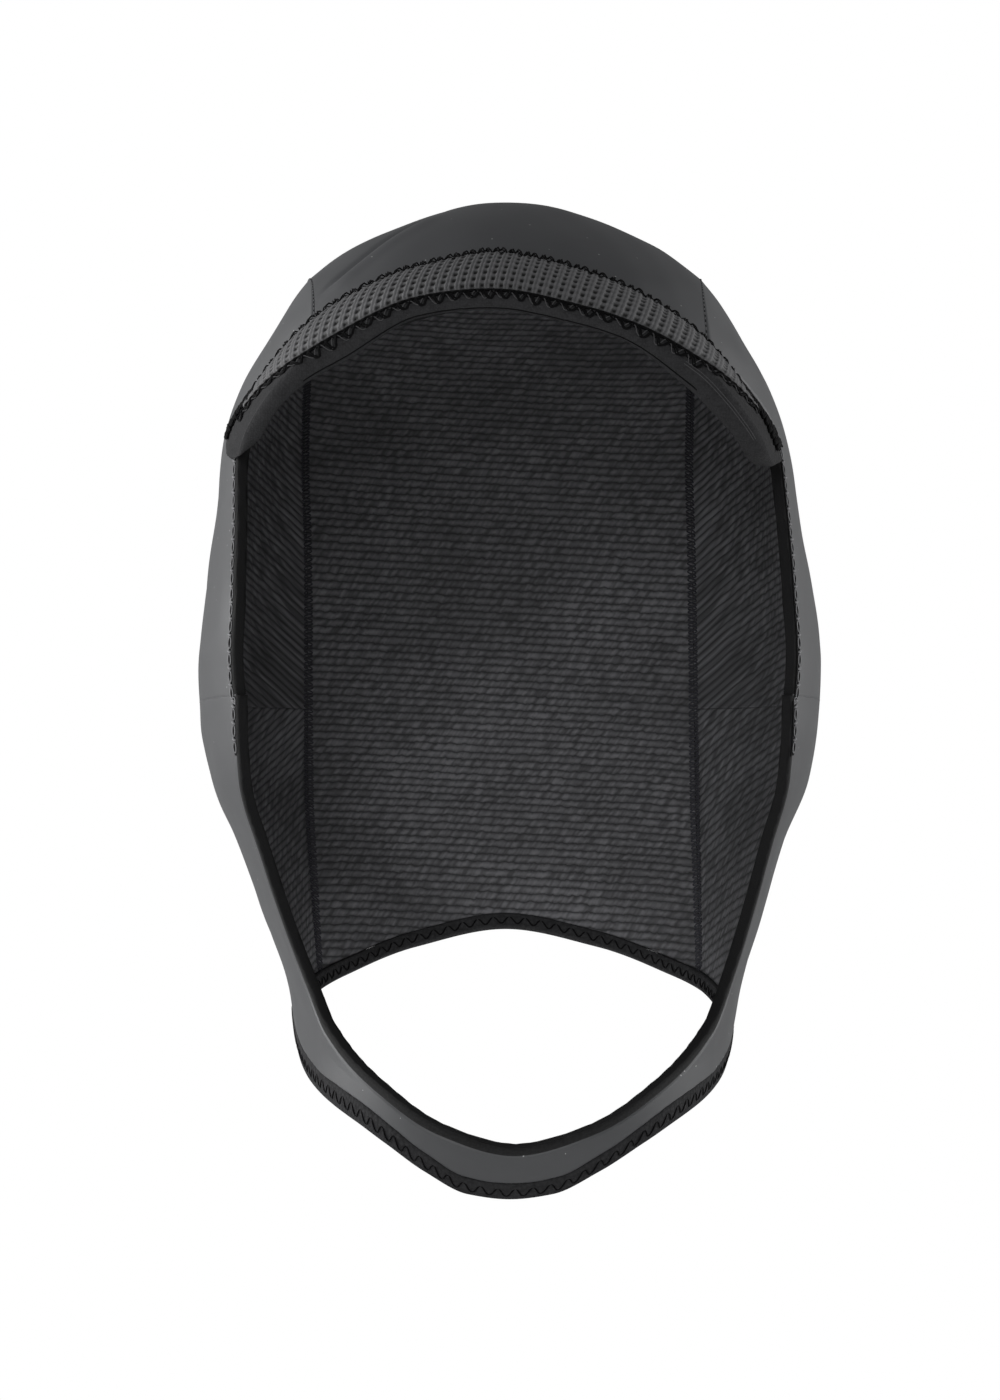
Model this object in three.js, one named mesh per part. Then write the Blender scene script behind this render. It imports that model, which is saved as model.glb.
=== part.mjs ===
import * as THREE from 'three';

// A neoprene surf hood, in millimetres: +X is the wearer's left, -Y the face and +Z up.
// The origin is the highest point of the lining, where the hood sits on the head.

// Driving sizes
const wall = 3; // neoprene sheet with its bonded lining
const seamGap = 0.4; // between two panels that are sewn edge to edge
const layerGap = 0.35; // between a piece and the panel it lies on
const middleY = 6; // the widest line of the head, seen from the side
const pivot = { y: 10, z: -100 }; // centre of the fan that lays out the crown panel
const hemWidth = 5.2;
const hemSwell = 0.4; // how far the hem stands proud of the wall on both faces
const billThickness = 5.2;
const billRoot = 1; // thickness of the bill along its back edge
const billThinnest = 0.5;
const billEnd = 70; // degrees round the head from the middle of the bill to each end
const billTurn = -3.3; // degrees that the whole bill sits off the middle of the head
const bandThickness = 1.1;

// Outer surface of the head, a row for each level: half width, reach forward and back of middleY,
// and the power of the rounded section (2 is an ellipse, more is squarer).
const headForm = [
  { z: 3, side: 0, front: 0, back: 0, power: 2 },
  { z: -3.9, side: 29.1, front: 36.2, back: 36.2, power: 2.02 },
  { z: -10, side: 41, front: 49.7, back: 49.7, power: 2.08 },
  { z: -16.3, side: 48.4, front: 60.6, back: 60, power: 2.18 },
  { z: -21.9, side: 53.6, front: 68.4, back: 67, power: 2.24 },
  { z: -32.2, side: 60.8, front: 78.5, back: 77, power: 2.32 },
  { z: -45, side: 67.7, front: 87, back: 86, power: 2.4 },
  { z: -58, side: 72.2, front: 91.5, back: 92, power: 2.45 },
  { z: -78, side: 74.9, front: 95, back: 96.5, power: 2.5 },
  { z: -99, side: 78, front: 98, back: 97, power: 2.5 },
  { z: -115, side: 80, front: 99.5, back: 95, power: 2.45 },
  { z: -130, side: 79.3, front: 99, back: 91.5, power: 2.45 },
  { z: -145, side: 76.7, front: 97, back: 86, power: 2.5 },
  { z: -161, side: 70.3, front: 94.5, back: 79, power: 2.55 },
  { z: -181, side: 63.4, front: 91, back: 71.5, power: 2.55 },
  { z: -202, side: 57.2, front: 88, back: 67.5, power: 2.5 },
  { z: -218, side: 55, front: 87, back: 66.5, power: 2.4 },
  { z: -232, side: 54, front: 84.5, back: 66, power: 2.4 },
  { z: -241, side: 53.4, front: 80.5, back: 66, power: 2.4 },
  { z: -250, side: 53, front: 75, back: 66, power: 2.4 },
];

// Height of the neck rim, by degrees round the head from the chin to the nape.
const neckRim = [
  { turn: 0, z: -248 },
  { turn: 8, z: -246.8 },
  { turn: 16, z: -240.8 },
  { turn: 24, z: -234.2 },
  { turn: 32, z: -229.2 },
  { turn: 45, z: -223.6 },
  { turn: 60, z: -219.2 },
  { turn: 80, z: -213 },
  { turn: 100, z: -206 },
  { turn: 120, z: -200 },
  { turn: 140, z: -195.6 },
  { turn: 160, z: -189.8 },
  { turn: 180, z: -186 },
];

// Forehead edge of the crown panel, by distance from the middle. The bill hides it.
const foreheadEdge = [
  { x: 0, z: -24.5 },
  { x: 20, z: -27.5 },
  { x: 30, z: -30.5 },
  { x: 40, z: -35 },
  { x: 50, z: -41 },
];

// Front edge of a side panel, from the end of the crown seam down to the jaw seam.
const templeEdge = [
  { z: -40, y: -55 },
  { z: -49, y: -44.5 },
  { z: -56, y: -38.5 },
  { z: -63, y: -37 },
  { z: -72, y: -39.5 },
  { z: -90, y: -46 },
  { z: -107, y: -51 },
  { z: -123.5, y: -52.5 },
];

// Upper edge of the chin strap, from the middle of the chin to the end of the jaw seam, and the
// place on the neck rim that each row of the panel runs down to.
const chinEdge = [
  { turn: 0, z: -236, rim: 0 },
  { turn: 13, z: -230.7, rim: 12 },
  { turn: 24.7, z: -221.4, rim: 24 },
  { turn: 36, z: -211.5, rim: 35.5 },
  { turn: 45, z: -199.7, rim: 47 },
  { turn: 50.3, z: -187, rim: 57 },
  { turn: 52.8, z: -172, rim: 66 },
  { turn: 52.4, z: -155, rim: 73 },
  { turn: 50.6, z: -139, rim: 78 },
  { turn: 49.4, z: -123.9, rim: 82 },
];
const jawSeamDrop = 4; // how much lower the jaw seam is at the back than at the face

// The bill, by degrees round the head: height of its back edge, and how far its front edge lies
// forward of, below and outside its back edge.
const bill = [
  { turn: 0, z: -15.1, reach: 28.4, drop: 10.8, spread: 0 },
  { turn: 19, z: -19.3, reach: 25.2, drop: 10.2, spread: 1 },
  { turn: 28, z: -23.3, reach: 24.2, drop: 9.6, spread: 1.6 },
  { turn: 34, z: -27.1, reach: 23.4, drop: 9, spread: 1.8 },
  { turn: 41, z: -32.7, reach: 22.6, drop: 8.2, spread: 1.8 },
  { turn: 49, z: -41, reach: 21.8, drop: 7.2, spread: 0.8 },
  { turn: 60, z: -51.5, reach: 21.8, drop: 5.8, spread: -1.4 },
  { turn: 70, z: -60.5, reach: 21.5, drop: 5, spread: -3.8 },
];

// Faces along and across each piece
const crownSteps = { across: 14, seam: 30, neck: 12 };
const sideSteps = { up: 11 };
const strapSteps = { chin: 26, jaw: 10, up: 7 };
const rimSteps = 72;
const billSteps = 52;

const radians = THREE.MathUtils.degToRad;
const mix = THREE.MathUtils.lerp;
const v3 = (x, y, z) => new THREE.Vector3(x, y, z);

// A smooth line through the rows of a table that never overshoots them. A mirrored one starts level.
function tableLine(rows, key, value, mirrored = false) {
  const at = rows.map((row) => row[key]);
  const put = rows.map(value);
  const step = at.slice(1).map((next, i) => (put[i + 1] - put[i]) / (next - at[i]));
  const slope = at.map((_, i) => {
    if (i === 0) return mirrored ? 0 : step[0];
    if (i === at.length - 1) return mirrored && at[i] === 180 ? 0 : step[i - 1];
    const flat = step[i - 1] * step[i] <= 0;
    return flat ? 0 : (2 * step[i - 1] * step[i]) / (step[i - 1] + step[i]);
  });
  const rising = at[1] > at[0];
  return (wanted) => {
    let i = 0;
    while (i < at.length - 2 && (rising ? wanted > at[i + 1] : wanted < at[i + 1])) i += 1;
    const width = at[i + 1] - at[i];
    const s = THREE.MathUtils.clamp((wanted - at[i]) / width, 0, 1);
    const bend = s * s * (3 - 2 * s);
    const lean = width * s * (1 - s);
    return mix(put[i], put[i + 1], bend) + lean * (slope[i] * (1 - s) - slope[i + 1] * s);
  };
}

// Squares of the reaches, which keep the top of the dome round
const sideSquared = tableLine(headForm, 'z', (row) => row.side ** 2);
const frontSquared = tableLine(headForm, 'z', (row) => row.front ** 2);
const backSquared = tableLine(headForm, 'z', (row) => row.back ** 2);
const powerAt = tableLine(headForm, 'z', (row) => row.power);
const rimAt = tableLine(neckRim, 'turn', (row) => row.z, true);
const foreheadAt = tableLine(foreheadEdge, 'x', (row) => row.z, true);
const templeAt = tableLine(templeEdge, 'z', (row) => row.y);
const billLine = (key) => tableLine(bill, 'turn', (row) => row[key], true);
const billAt = {
  z: billLine('z'),
  reach: billLine('reach'),
  drop: billLine('drop'),
  spread: tableLine(bill, 'turn', (row) => row.spread),
};

const topZ = headForm[0].z;

function section(z) {
  const side = Math.sqrt(Math.max(sideSquared(z), 1e-9));
  const front = Math.sqrt(Math.max(frontSquared(z), 1e-9));
  const back = Math.sqrt(Math.max(backSquared(z), 1e-9));
  return { side, front, back, power: powerAt(z) };
}

// Below 0 inside the head form and above 0 outside it
function level(p) {
  if (p.z >= topZ) return 1;
  const { side, front, back, power } = section(p.z);
  const reach = p.y < middleY ? front : back;
  return (Math.abs(p.x) / side) ** power + (Math.abs(p.y - middleY) / reach) ** power - 1;
}

function outward(p) {
  const top = headForm[1];
  if (p.z > topZ - 0.6) {
    const roundness = topZ - top.z;
    return v3(
      (2 * roundness * p.x) / top.side ** 2,
      (2 * roundness * (p.y - middleY)) / top.front ** 2,
      1,
    ).normalize();
  }
  const h = 0.2;
  return v3(
    level(v3(p.x + h, p.y, p.z)) - level(v3(p.x - h, p.y, p.z)),
    level(v3(p.x, p.y + h, p.z)) - level(v3(p.x, p.y - h, p.z)),
    level(v3(p.x, p.y, p.z + h)) - level(v3(p.x, p.y, p.z - h)),
  ).normalize();
}

// The point on the form in a direction round the head, at one level
function around(turn, z) {
  const { side, front, back, power } = section(z);
  const sine = Math.sin(radians(turn));
  const cosine = Math.cos(radians(turn));
  const reach = cosine > 0 ? front : back;
  const pull = (Math.abs(sine) / side) ** power + (Math.abs(cosine) / reach) ** power;
  const r = pull ** (-1 / power);
  return v3(r * sine, middleY - r * cosine, z);
}

function turnOf(p) {
  return THREE.MathUtils.radToDeg(Math.atan2(Math.abs(p.x), middleY - p.y));
}

// The point on the form that is level with y and z, on the wearer's left
function beside(y, z) {
  const { side, front, back, power } = section(z);
  const share = Math.min(1, Math.abs(y - middleY) / (y < middleY ? front : back));
  return v3(side * (1 - share ** power) ** (1 / power), y, z);
}

// The point on the form that a ray of the crown's fan meets, 0 degrees forward and 90 up
function overTop(x, fan) {
  const dy = -Math.cos(radians(fan));
  const dz = Math.sin(radians(fan));
  let near = 0;
  let far = 170;
  for (let i = 0; i < 40; i += 1) {
    const middle = (near + far) / 2;
    const inside = level(v3(x, pivot.y + dy * middle, pivot.z + dz * middle)) < 0;
    if (inside) near = middle;
    else far = middle;
  }
  return v3(x, pivot.y + dy * near, pivot.z + dz * near);
}

// Half the width of the crown panel, which widens over the back of the head
function seamX(y) {
  return 48.5 + 4.5 * THREE.MathUtils.smoothstep(y, -45, 95);
}

function crownPoint(share, fan) {
  let p = overTop(share * seamX(0), fan);
  for (let i = 0; i < 4; i += 1) p = overTop(share * seamX(p.y), fan);
  return p;
}

// The low ridge that the two crown seams pull up, and the bill's distance from the head over it
const ridge = { height: 1, width: 15 };
const billClear = layerGap + ridge.height + 0.15;
function ridged(p) {
  const away = Math.min(1, Math.abs(Math.abs(p.x) - seamX(p.y)) / ridge.width);
  return p.clone().addScaledVector(outward(p), ridge.height * (1 - away) ** 2);
}

// Height of the hem's upper edge, and of the panels that stop above it
function aboveRim(turn, distance) {
  const z = rimAt(turn);
  const perMillimetre = around(turn, z + 1).distanceTo(around(turn, z));
  return z + distance / perMillimetre;
}
const panelFoot = (turn) => aboveRim(turn, hemWidth + seamGap);

// The fan angle at which a line of the crown panel meets a level, front or back
function fanWhere(share, low, high, beyond) {
  let inner = low;
  let outer = high;
  for (let i = 0; i < 30; i += 1) {
    const middle = (inner + outer) / 2;
    if (beyond(crownPoint(share, middle))) outer = middle;
    else inner = middle;
  }
  return (inner + outer) / 2;
}

const fanStart = (share) => fanWhere(share, 90, 20, (p) => p.z < foreheadAt(Math.abs(p.x)));
const fanEnd = (share) => fanWhere(share, 150, 268, (p) => p.z < panelFoot(turnOf(p)));

// Meshes

// A closed body from triangles given by their corners, turned so that its faces point out
function body(triangles) {
  const points = [];
  const seen = new Map();
  const indexOf = (p) => {
    const name = [p.x, p.y, p.z].map((c) => Math.round(c * 1e4)).join(' ');
    if (!seen.has(name)) {
      seen.set(name, points.length);
      points.push(p);
    }
    return seen.get(name);
  };
  let faces = triangles
    .map((corners) => corners.map(indexOf))
    .filter(([a, b, c]) => a !== b && b !== c && c !== a);
  const volume = faces.reduce(
    (sum, [a, b, c]) => sum + points[a].dot(v3().crossVectors(points[b], points[c])),
    0,
  );
  if (volume < 0) faces = faces.map(([a, b, c]) => [a, c, b]);
  const geometry = new THREE.BufferGeometry();
  const places = points.flatMap((p) => [p.x, p.y, p.z]);
  geometry.setAttribute('position', new THREE.Float32BufferAttribute(places, 3));
  geometry.setIndex(faces.flat());
  geometry.computeVertexNormals();
  return geometry;
}

function quad(a, b, c, d) {
  return [
    [a, b, c],
    [a, c, d],
  ];
}

// A sheet between two grids of points, closed along its four edges
function sheet(outer, inner) {
  const rows = outer.length;
  const columns = outer[0].length;
  const faces = [];
  for (let i = 0; i < rows - 1; i += 1) {
    for (let j = 0; j < columns - 1; j += 1) {
      faces.push(...quad(outer[i][j], outer[i][j + 1], outer[i + 1][j + 1], outer[i + 1][j]));
      faces.push(...quad(inner[i][j], inner[i + 1][j], inner[i + 1][j + 1], inner[i][j + 1]));
    }
    const last = columns - 1;
    faces.push(...quad(outer[i][0], outer[i + 1][0], inner[i + 1][0], inner[i][0]));
    faces.push(...quad(outer[i][last], inner[i][last], inner[i + 1][last], outer[i + 1][last]));
  }
  for (let j = 0; j < columns - 1; j += 1) {
    const end = rows - 1;
    faces.push(...quad(outer[0][j], inner[0][j], inner[0][j + 1], outer[0][j + 1]));
    faces.push(...quad(outer[end][j], outer[end][j + 1], inner[end][j + 1], inner[end][j]));
  }
  return body(faces);
}

// A panel of the wall: its points lie on the head form, and its lining one wall inside them
function panel(grid) {
  const outer = grid.map((row) => row.map(ridged));
  const inner = grid.map((row, i) =>
    row.map((p, j) => outer[i][j].clone().addScaledVector(outward(p), -wall)),
  );
  return sheet(outer, inner);
}

// A body through closed sections, joined end to end or capped
function loft(sections, joined) {
  const faces = [];
  const count = joined ? sections.length : sections.length - 1;
  for (let i = 0; i < count; i += 1) {
    const here = sections[i];
    const next = sections[(i + 1) % sections.length];
    here.forEach((p, j) => {
      const k = (j + 1) % here.length;
      faces.push(...quad(p, here[k], next[k], next[j]));
    });
  }
  if (!joined) {
    const first = sections[0];
    const last = sections[sections.length - 1];
    for (let j = 1; j < first.length - 1; j += 1) {
      faces.push([first[0], first[j + 1], first[j]]);
      faces.push([last[0], last[j], last[j + 1]]);
    }
  }
  return body(faces);
}

const steps = (count) => Array.from({ length: count + 1 }, (_, i) => i / count);
const mirror = (grid) => grid.map((row) => row.map((p) => v3(-p.x, p.y, p.z)));

// Crown seam: the fan angles where it crosses the jaw seam, and its points on both sides of that
const jawBackZ = chinEdge[chinEdge.length - 1].z - jawSeamDrop;
const seamStart = fanStart(1);
const seamEnd = fanEnd(1);
const seamJaw = fanWhere(1, 150, 215, (p) => p.z < jawBackZ);
const seamFans = [
  ...steps(crownSteps.seam).map((s) => mix(seamStart, seamJaw, s)),
  ...steps(crownSteps.neck)
    .slice(1)
    .map((s) => mix(seamJaw, seamEnd, s)),
];

// The crown panel runs from the forehead over the top and down to the nape
function crownPanel() {
  const share = (seamX(0) - seamGap / 2) / seamX(0);
  const columns = steps(crownSteps.across).map((s) => mix(-share, share, s));
  const ends = columns.map((u) => ({ start: fanStart(u), end: fanEnd(u) }));
  const grid = seamFans.map((fan) => {
    const along = (fan - seamStart) / (seamEnd - seamStart);
    return columns.map((u, j) => crownPoint(u, mix(ends[j].start, ends[j].end, along)));
  });
  return panel(grid);
}

// A side panel fans from the jaw seam up to the crown seam, and its first line is the temple edge
function sidePanelGrid() {
  const front = chinEdge[chinEdge.length - 1];
  const corner = around(front.turn, front.z + seamGap);
  const back = crownPoint(1, seamJaw);
  const along = steps(crownSteps.seam);
  return along.map((s) => {
    const fan = mix(seamStart, seamJaw, s);
    const top = crownPoint(1, fan);
    const footY = mix(corner.y, back.y, 1 - (1 - s) ** 0.9);
    const foot = { y: footY, z: mix(corner.z, back.z + seamGap, s) };
    return steps(sideSteps.up).map((w) => {
      const z = mix(foot.z, top.z, w);
      const bow = templeAt(mix(corner.z, crownPoint(1, seamStart).z, w));
      const straight = mix(corner.y, crownPoint(1, seamStart).y, w);
      const y = mix(foot.y, top.y, w) + (bow - straight) * (1 - s) ** 4;
      const p = w === 1 ? top.clone() : beside(y, z);
      p.x += w === 1 ? seamGap / 2 : 0;
      return p;
    });
  });
}

// The chin strap widens into the two jaw panels, and wraps the neck from seam to seam
function chinStrapGrid() {
  const numbered = chinEdge.map((row, i) => ({ ...row, i }));
  const chinTurn = tableLine(numbered, 'i', (row) => row.turn);
  const chinZ = tableLine(numbered, 'i', (row) => row.z, true);
  const chinRim = tableLine(numbered, 'i', (row) => row.rim);
  const last = chinEdge.length - 1;
  const corner = chinEdge[last];
  const seamTop = crownPoint(1, seamJaw);
  const seamFoot = crownPoint(1, seamEnd);
  const half = [];
  for (const s of steps(strapSteps.chin)) {
    const i = s * last;
    half.push({ turn: chinTurn(i), z: chinZ(i), rim: chinRim(i) });
  }
  for (const s of steps(strapSteps.jaw).slice(1)) {
    half.push({
      turn: mix(corner.turn, turnOf(seamTop), s),
      z: mix(corner.z, seamTop.z, s),
      rim: mix(corner.rim, turnOf(seamFoot), s),
    });
  }
  const grid = half.map((row) =>
    steps(strapSteps.up).map((w) => {
      const turn = mix(row.rim, row.turn, w);
      return around(turn, mix(panelFoot(row.rim), row.z, w));
    }),
  );
  // the last line follows the crown seam itself
  grid[grid.length - 1] = steps(strapSteps.up).map((w) => {
    const p = crownPoint(1, mix(seamEnd, seamJaw, w));
    p.x += seamGap / 2;
    return p;
  });
  return [...mirror(grid).reverse().slice(0, -1), ...grid];
}

// The hem is a binding folded over the neck rim
function neckHem() {
  const sections = Array.from({ length: rimSteps }, (_, i) => {
    const turn = (360 * i) / rimSteps;
    const far = turn > 180 ? 360 - turn : turn;
    const low = around(turn, rimAt(far));
    const high = around(turn, aboveRim(far, hemWidth));
    const nLow = outward(low);
    const nHigh = outward(high);
    const corner = (p, n, depth) => p.clone().addScaledVector(n, depth);
    return [
      corner(high, nHigh, hemSwell),
      corner(low, nLow, hemSwell),
      corner(low, nLow, -wall - hemSwell),
      corner(high, nHigh, -wall - hemSwell),
    ];
  });
  return loft(sections, true);
}

// One cross section of the bill: where its back edge sits, the line to its front edge, and the
// direction of its thickness
function billFrame(s) {
  const place = (share) => {
    const turn = share * billEnd;
    const far = Math.abs(turn);
    return around(turn + billTurn, billAt.z(far));
  };
  const far = Math.abs(s * billEnd);
  const back = place(s);
  const end = Math.max(0, (Math.abs(s) - 0.9) / 0.1);
  const rounding = Math.sqrt(Math.max(0.06, 1 - end ** 2));
  const side = Math.sign(s) * billAt.spread(far);
  const run = v3(side, -billAt.reach(far), -billAt.drop(far)).multiplyScalar(rounding);
  const along = place(Math.min(1, s + 0.02)).sub(place(Math.max(-1, s - 0.02)));
  const up = v3().crossVectors(run, along).normalize();
  if (up.dot(outward(back)) < 0) up.negate();
  back.addScaledVector(outward(back), billClear + 0.2);
  back.addScaledVector(run, (0.6 * (1 - rounding)) / rounding);
  return { back, run, up, rounding };
}

const touchesHead = (p) => level(p.clone().addScaledVector(outward(p), -billClear)) < 0;

// The top line of the bill bows up between its back and front edges, and over the side of the head
function billTop(frame, q) {
  const bow = 1.2 * 4 * q * (1 - q);
  const p = frame.back.clone().addScaledVector(frame.run, q).addScaledVector(frame.up, bow);
  while (touchesHead(p.clone().addScaledVector(frame.up, -billThinnest))) {
    p.addScaledVector(frame.up, 0.1);
  }
  return p;
}

// How thick the bill can be at a point of its top before its underside meets the head
function clearDepth(p, up, wanted) {
  let depth = billThinnest;
  while (depth < wanted && !touchesHead(p.clone().addScaledVector(up, -depth - 0.1))) depth += 0.1;
  return depth;
}

// The bill is a foam crescent: thin where it is sewn to the crown, with a full rolled front lip
function peakBill() {
  const sections = steps(billSteps).map((t) => {
    const s = 2 * t - 1;
    const frame = billFrame(s);
    const full = billThickness * Math.max(0.35, frame.rounding);
    const under = (q, wanted) => {
      const p = billTop(frame, q);
      return p.addScaledVector(frame.up, -clearDepth(p, frame.up, wanted));
    };
    const front = billTop(frame, 1);
    const nose = frame.run.clone().normalize();
    const lipDepth = clearDepth(front.clone().addScaledVector(nose, 1.2), frame.up, full);
    const rolled = (out, depth) =>
      front
        .clone()
        .addScaledVector(frame.up, -depth * lipDepth)
        .addScaledVector(nose, out);
    return [
      billTop(frame, 0),
      billTop(frame, 0.33),
      billTop(frame, 0.66),
      front,
      rolled(1.2, 0.22),
      rolled(1.6, 0.5),
      rolled(1.2, 0.8),
      under(0.97, full),
      under(0.85, 0.92 * full),
      under(0.78, 3.4),
      under(0.4, 3),
      under(0.04, billRoot),
    ];
  });
  return loft(sections, false);
}

// Ribbed webbing lies on the bill from one end to the other
function peakBand() {
  const across = [0.02, 0.34, 0.66, 0.97];
  const frames = steps(billSteps).map((t) => billFrame(0.97 * (2 * t - 1)));
  const lift = (height) =>
    frames.map((frame) =>
      across.map((q) => billTop(frame, q).addScaledVector(frame.up, height)),
    );
  return sheet(lift(layerGap + bandThickness), lift(layerGap));
}

// Materials
const skin = { color: '#3b3c3e', roughness: 0.62, metalness: 0 };
const strapSkin = { color: '#414244', roughness: 0.6, metalness: 0 };
const binding = { color: '#232325', roughness: 0.85, metalness: 0 };
const webbing = { color: '#353536', roughness: 0.8, metalness: 0 };
const lip = { color: '#222224', roughness: 0.75, metalness: 0 };

const group = new THREE.Group();
function piece(name, geometry, finish) {
  const mesh = new THREE.Mesh(geometry, new THREE.MeshStandardMaterial(finish));
  mesh.name = name;
  group.add(mesh);
}

const sideGrid = sidePanelGrid();
piece('crown_panel', crownPanel(), skin);
piece('side_panel_left', panel(sideGrid), skin);
piece('side_panel_right', panel(mirror(sideGrid)), skin);
piece('chin_strap', panel(chinStrapGrid()), strapSkin);
piece('neck_hem', neckHem(), binding);
piece('peak_bill', peakBill(), lip);
piece('peak_band', peakBand(), webbing);

export default group;
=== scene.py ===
import math
from collections import namedtuple

import bpy
import numpy as np
from bpy.props import FloatProperty, FloatVectorProperty, PointerProperty
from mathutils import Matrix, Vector


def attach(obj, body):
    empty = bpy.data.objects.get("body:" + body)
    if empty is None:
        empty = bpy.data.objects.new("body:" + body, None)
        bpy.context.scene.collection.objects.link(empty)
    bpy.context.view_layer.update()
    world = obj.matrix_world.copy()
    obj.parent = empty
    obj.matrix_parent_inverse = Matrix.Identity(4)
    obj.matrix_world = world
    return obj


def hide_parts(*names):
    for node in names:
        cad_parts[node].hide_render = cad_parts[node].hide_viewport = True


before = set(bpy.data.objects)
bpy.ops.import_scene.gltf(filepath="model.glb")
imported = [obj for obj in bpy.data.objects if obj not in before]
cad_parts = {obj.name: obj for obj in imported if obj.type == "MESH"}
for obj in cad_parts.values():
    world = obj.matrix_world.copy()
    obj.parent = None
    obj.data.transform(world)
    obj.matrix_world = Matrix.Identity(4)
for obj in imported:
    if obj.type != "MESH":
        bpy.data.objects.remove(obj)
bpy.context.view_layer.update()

bl_info = {
    "name": "Neoprene surf hood",
    "version": (1, 0, 0),
    "blender": (4, 5, 0),
    "location": "3D View > Sidebar > Hood",
    "description": "Builds a worn surf hood: skin panels, knit lining, padded peak, seams and stage",
    "category": "Add Mesh",
}

# Tables and form functions are in millimetres, and new_piece turns them to metres.
MM = 0.001

# Fixed sizes of the form, the same as in the solids
MIDDLE_Y = 6
PIVOT_Y = 10
PIVOT_Z = -100
RIDGE_HEIGHT = 1
RIDGE_WIDTH = 15
LAYER_GAP = 0.35
BILL_CLEAR = LAYER_GAP + RIDGE_HEIGHT + 0.15
BILL_THINNEST = 0.5
BILL_ROOT = 1
BILL_END = 70

# Clearance of the bill from the head at its ends, and of its sewn root
BILL_END_CLEAR = 0.4
BILL_SEAT = 0.2

# Outer surface of the head, a row for each level
HEAD_COLUMNS = ("z", "side", "front", "back", "power")
HEAD_FORM = (
    (3, 0, 0, 0, 2),
    (-3.9, 29.1, 36.2, 36.2, 2.02),
    (-10, 41, 49.7, 49.7, 2.08),
    (-16.3, 48.4, 60.6, 60, 2.18),
    (-21.9, 53.6, 68.4, 67, 2.24),
    (-32.2, 60.8, 78.5, 77, 2.32),
    (-45, 67.7, 87, 86, 2.4),
    (-58, 72.2, 91.5, 92, 2.45),
    (-78, 74.9, 95, 96.5, 2.5),
    (-99, 78, 98, 97, 2.5),
    (-115, 80, 99.5, 95, 2.45),
    (-130, 79.3, 99, 91.5, 2.45),
    (-145, 76.7, 97, 86, 2.5),
    (-161, 70.3, 94.5, 79, 2.55),
    (-181, 63.4, 91, 71.5, 2.55),
    (-202, 57.2, 88, 67.5, 2.5),
    (-218, 55, 87, 66.5, 2.4),
    (-232, 54, 84.5, 66, 2.4),
    (-241, 53.4, 80.5, 66, 2.4),
    (-250, 53, 75, 66, 2.4),
)

# Height of the neck rim, by degrees round the head from the chin to the nape
RIM_COLUMNS = ("turn", "z")
NECK_RIM = (
    (0, -249.3),
    (8, -248),
    (16, -242.4),
    (24, -235.6),
    (32, -230.4),
    (45, -225),
    (60, -220),
    (80, -213.6),
    (100, -207.5),
    (120, -203),
    (140, -198),
    (160, -191),
    (180, -186.4),
)

# Width of the neck binding as a share of the hem's size, by degrees round the head
HEM_COLUMNS = ("turn", "share")
HEM_WIDTH = ((0, 0.98), (20, 1.14), (45, 1.27), (80, 1.15), (120, 0.88), (180, 0.75))

# Forehead edge of the crown panel, by distance from the middle
FOREHEAD_COLUMNS = ("x", "z")
FOREHEAD_EDGE = ((0, -24.5), (20, -27.5), (30, -30.5), (40, -35), (50, -41))

# Front edge of a side panel, from the end of the crown seam down to the jaw seam
TEMPLE_COLUMNS = ("z", "y")
TEMPLE_EDGE = (
    (-40, -55),
    (-49, -44.5),
    (-56, -38.5),
    (-63, -37),
    (-72, -39.5),
    (-90, -46),
    (-107, -51),
    (-123.5, -52.5),
)

# Upper edge of the chin strap, and the place on the rim that each row of the panel runs down to
CHIN_COLUMNS = ("row", "turn", "z", "rim")
CHIN_EDGE = (
    (0, 0, -236, 0),
    (1, 13, -230.7, 12),
    (2, 24.7, -221.4, 24),
    (3, 36, -211.5, 35.5),
    (4, 45, -199.7, 47),
    (5, 50.3, -187, 57),
    (6, 52.8, -172, 66),
    (7, 52.4, -155, 73),
    (8, 50.6, -139, 78),
    (9, 49.4, -123.9, 82),
)
JAW_SEAM_DROP = 4

# The bill, by degrees round the head: height of its back edge, and how far its front edge lies
# forward of, below and outside its back edge
BILL_COLUMNS = ("turn", "z", "reach", "drop", "spread")
BILL = (
    (0, -15.1, 28.4, 10.8, 0),
    (19, -19.3, 25.2, 10.2, 1),
    (28, -23.3, 24.2, 9.6, 1.6),
    (34, -27.1, 23.4, 9, 1.8),
    (41, -32.7, 22.6, 8.2, 1.8),
    (49, -41, 21.8, 7.2, 0.8),
    (60, -51.5, 21.8, 5.8, -1.4),
    (70, -60.5, 21.5, 5, -3.8),
)

# The bill sits a little askew, by shares of its length from the wearer's right end to the left end:
# degrees that it is turned, and how much its back edge is raised, its front drops and its lip is fuller
SKEW_COLUMNS = ("share", "turn", "raise", "drop", "lip")
BILL_SKEW = (
    (-1, -1.6, 0, 0, -0.6),
    (-0.75, -1.8, -0.4, -0.3, -0.8),
    (-0.5, -2.9, 0, 0.3, 1.6),
    (-0.25, -3.3, 0.1, -1.6, -0.5),
    (0, -3.3, 0, -0.3, -0.3),
    (0.35, -4, -0.5, 0.3, -0.6),
    (0.6, -5.8, -0.8, 0.8, 2.1),
    (0.8, -8.8, -1.2, 0.4, 1),
    (1, -11.5, -2, 0, 0.4),
)

# How far the hood leans towards the wearer's left, by height
LEAN_COLUMNS = ("z", "x")
LEAN = (
    (-60, 0),
    (-85, 0.8),
    (-110, 1.1),
    (-150, 1.1),
    (-176, 1.8),
    (-200, 2.4),
    (-215, 2),
    (-230, 1.1),
    (-242, -0.1),
    (-250, -0.7),
)


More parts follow.
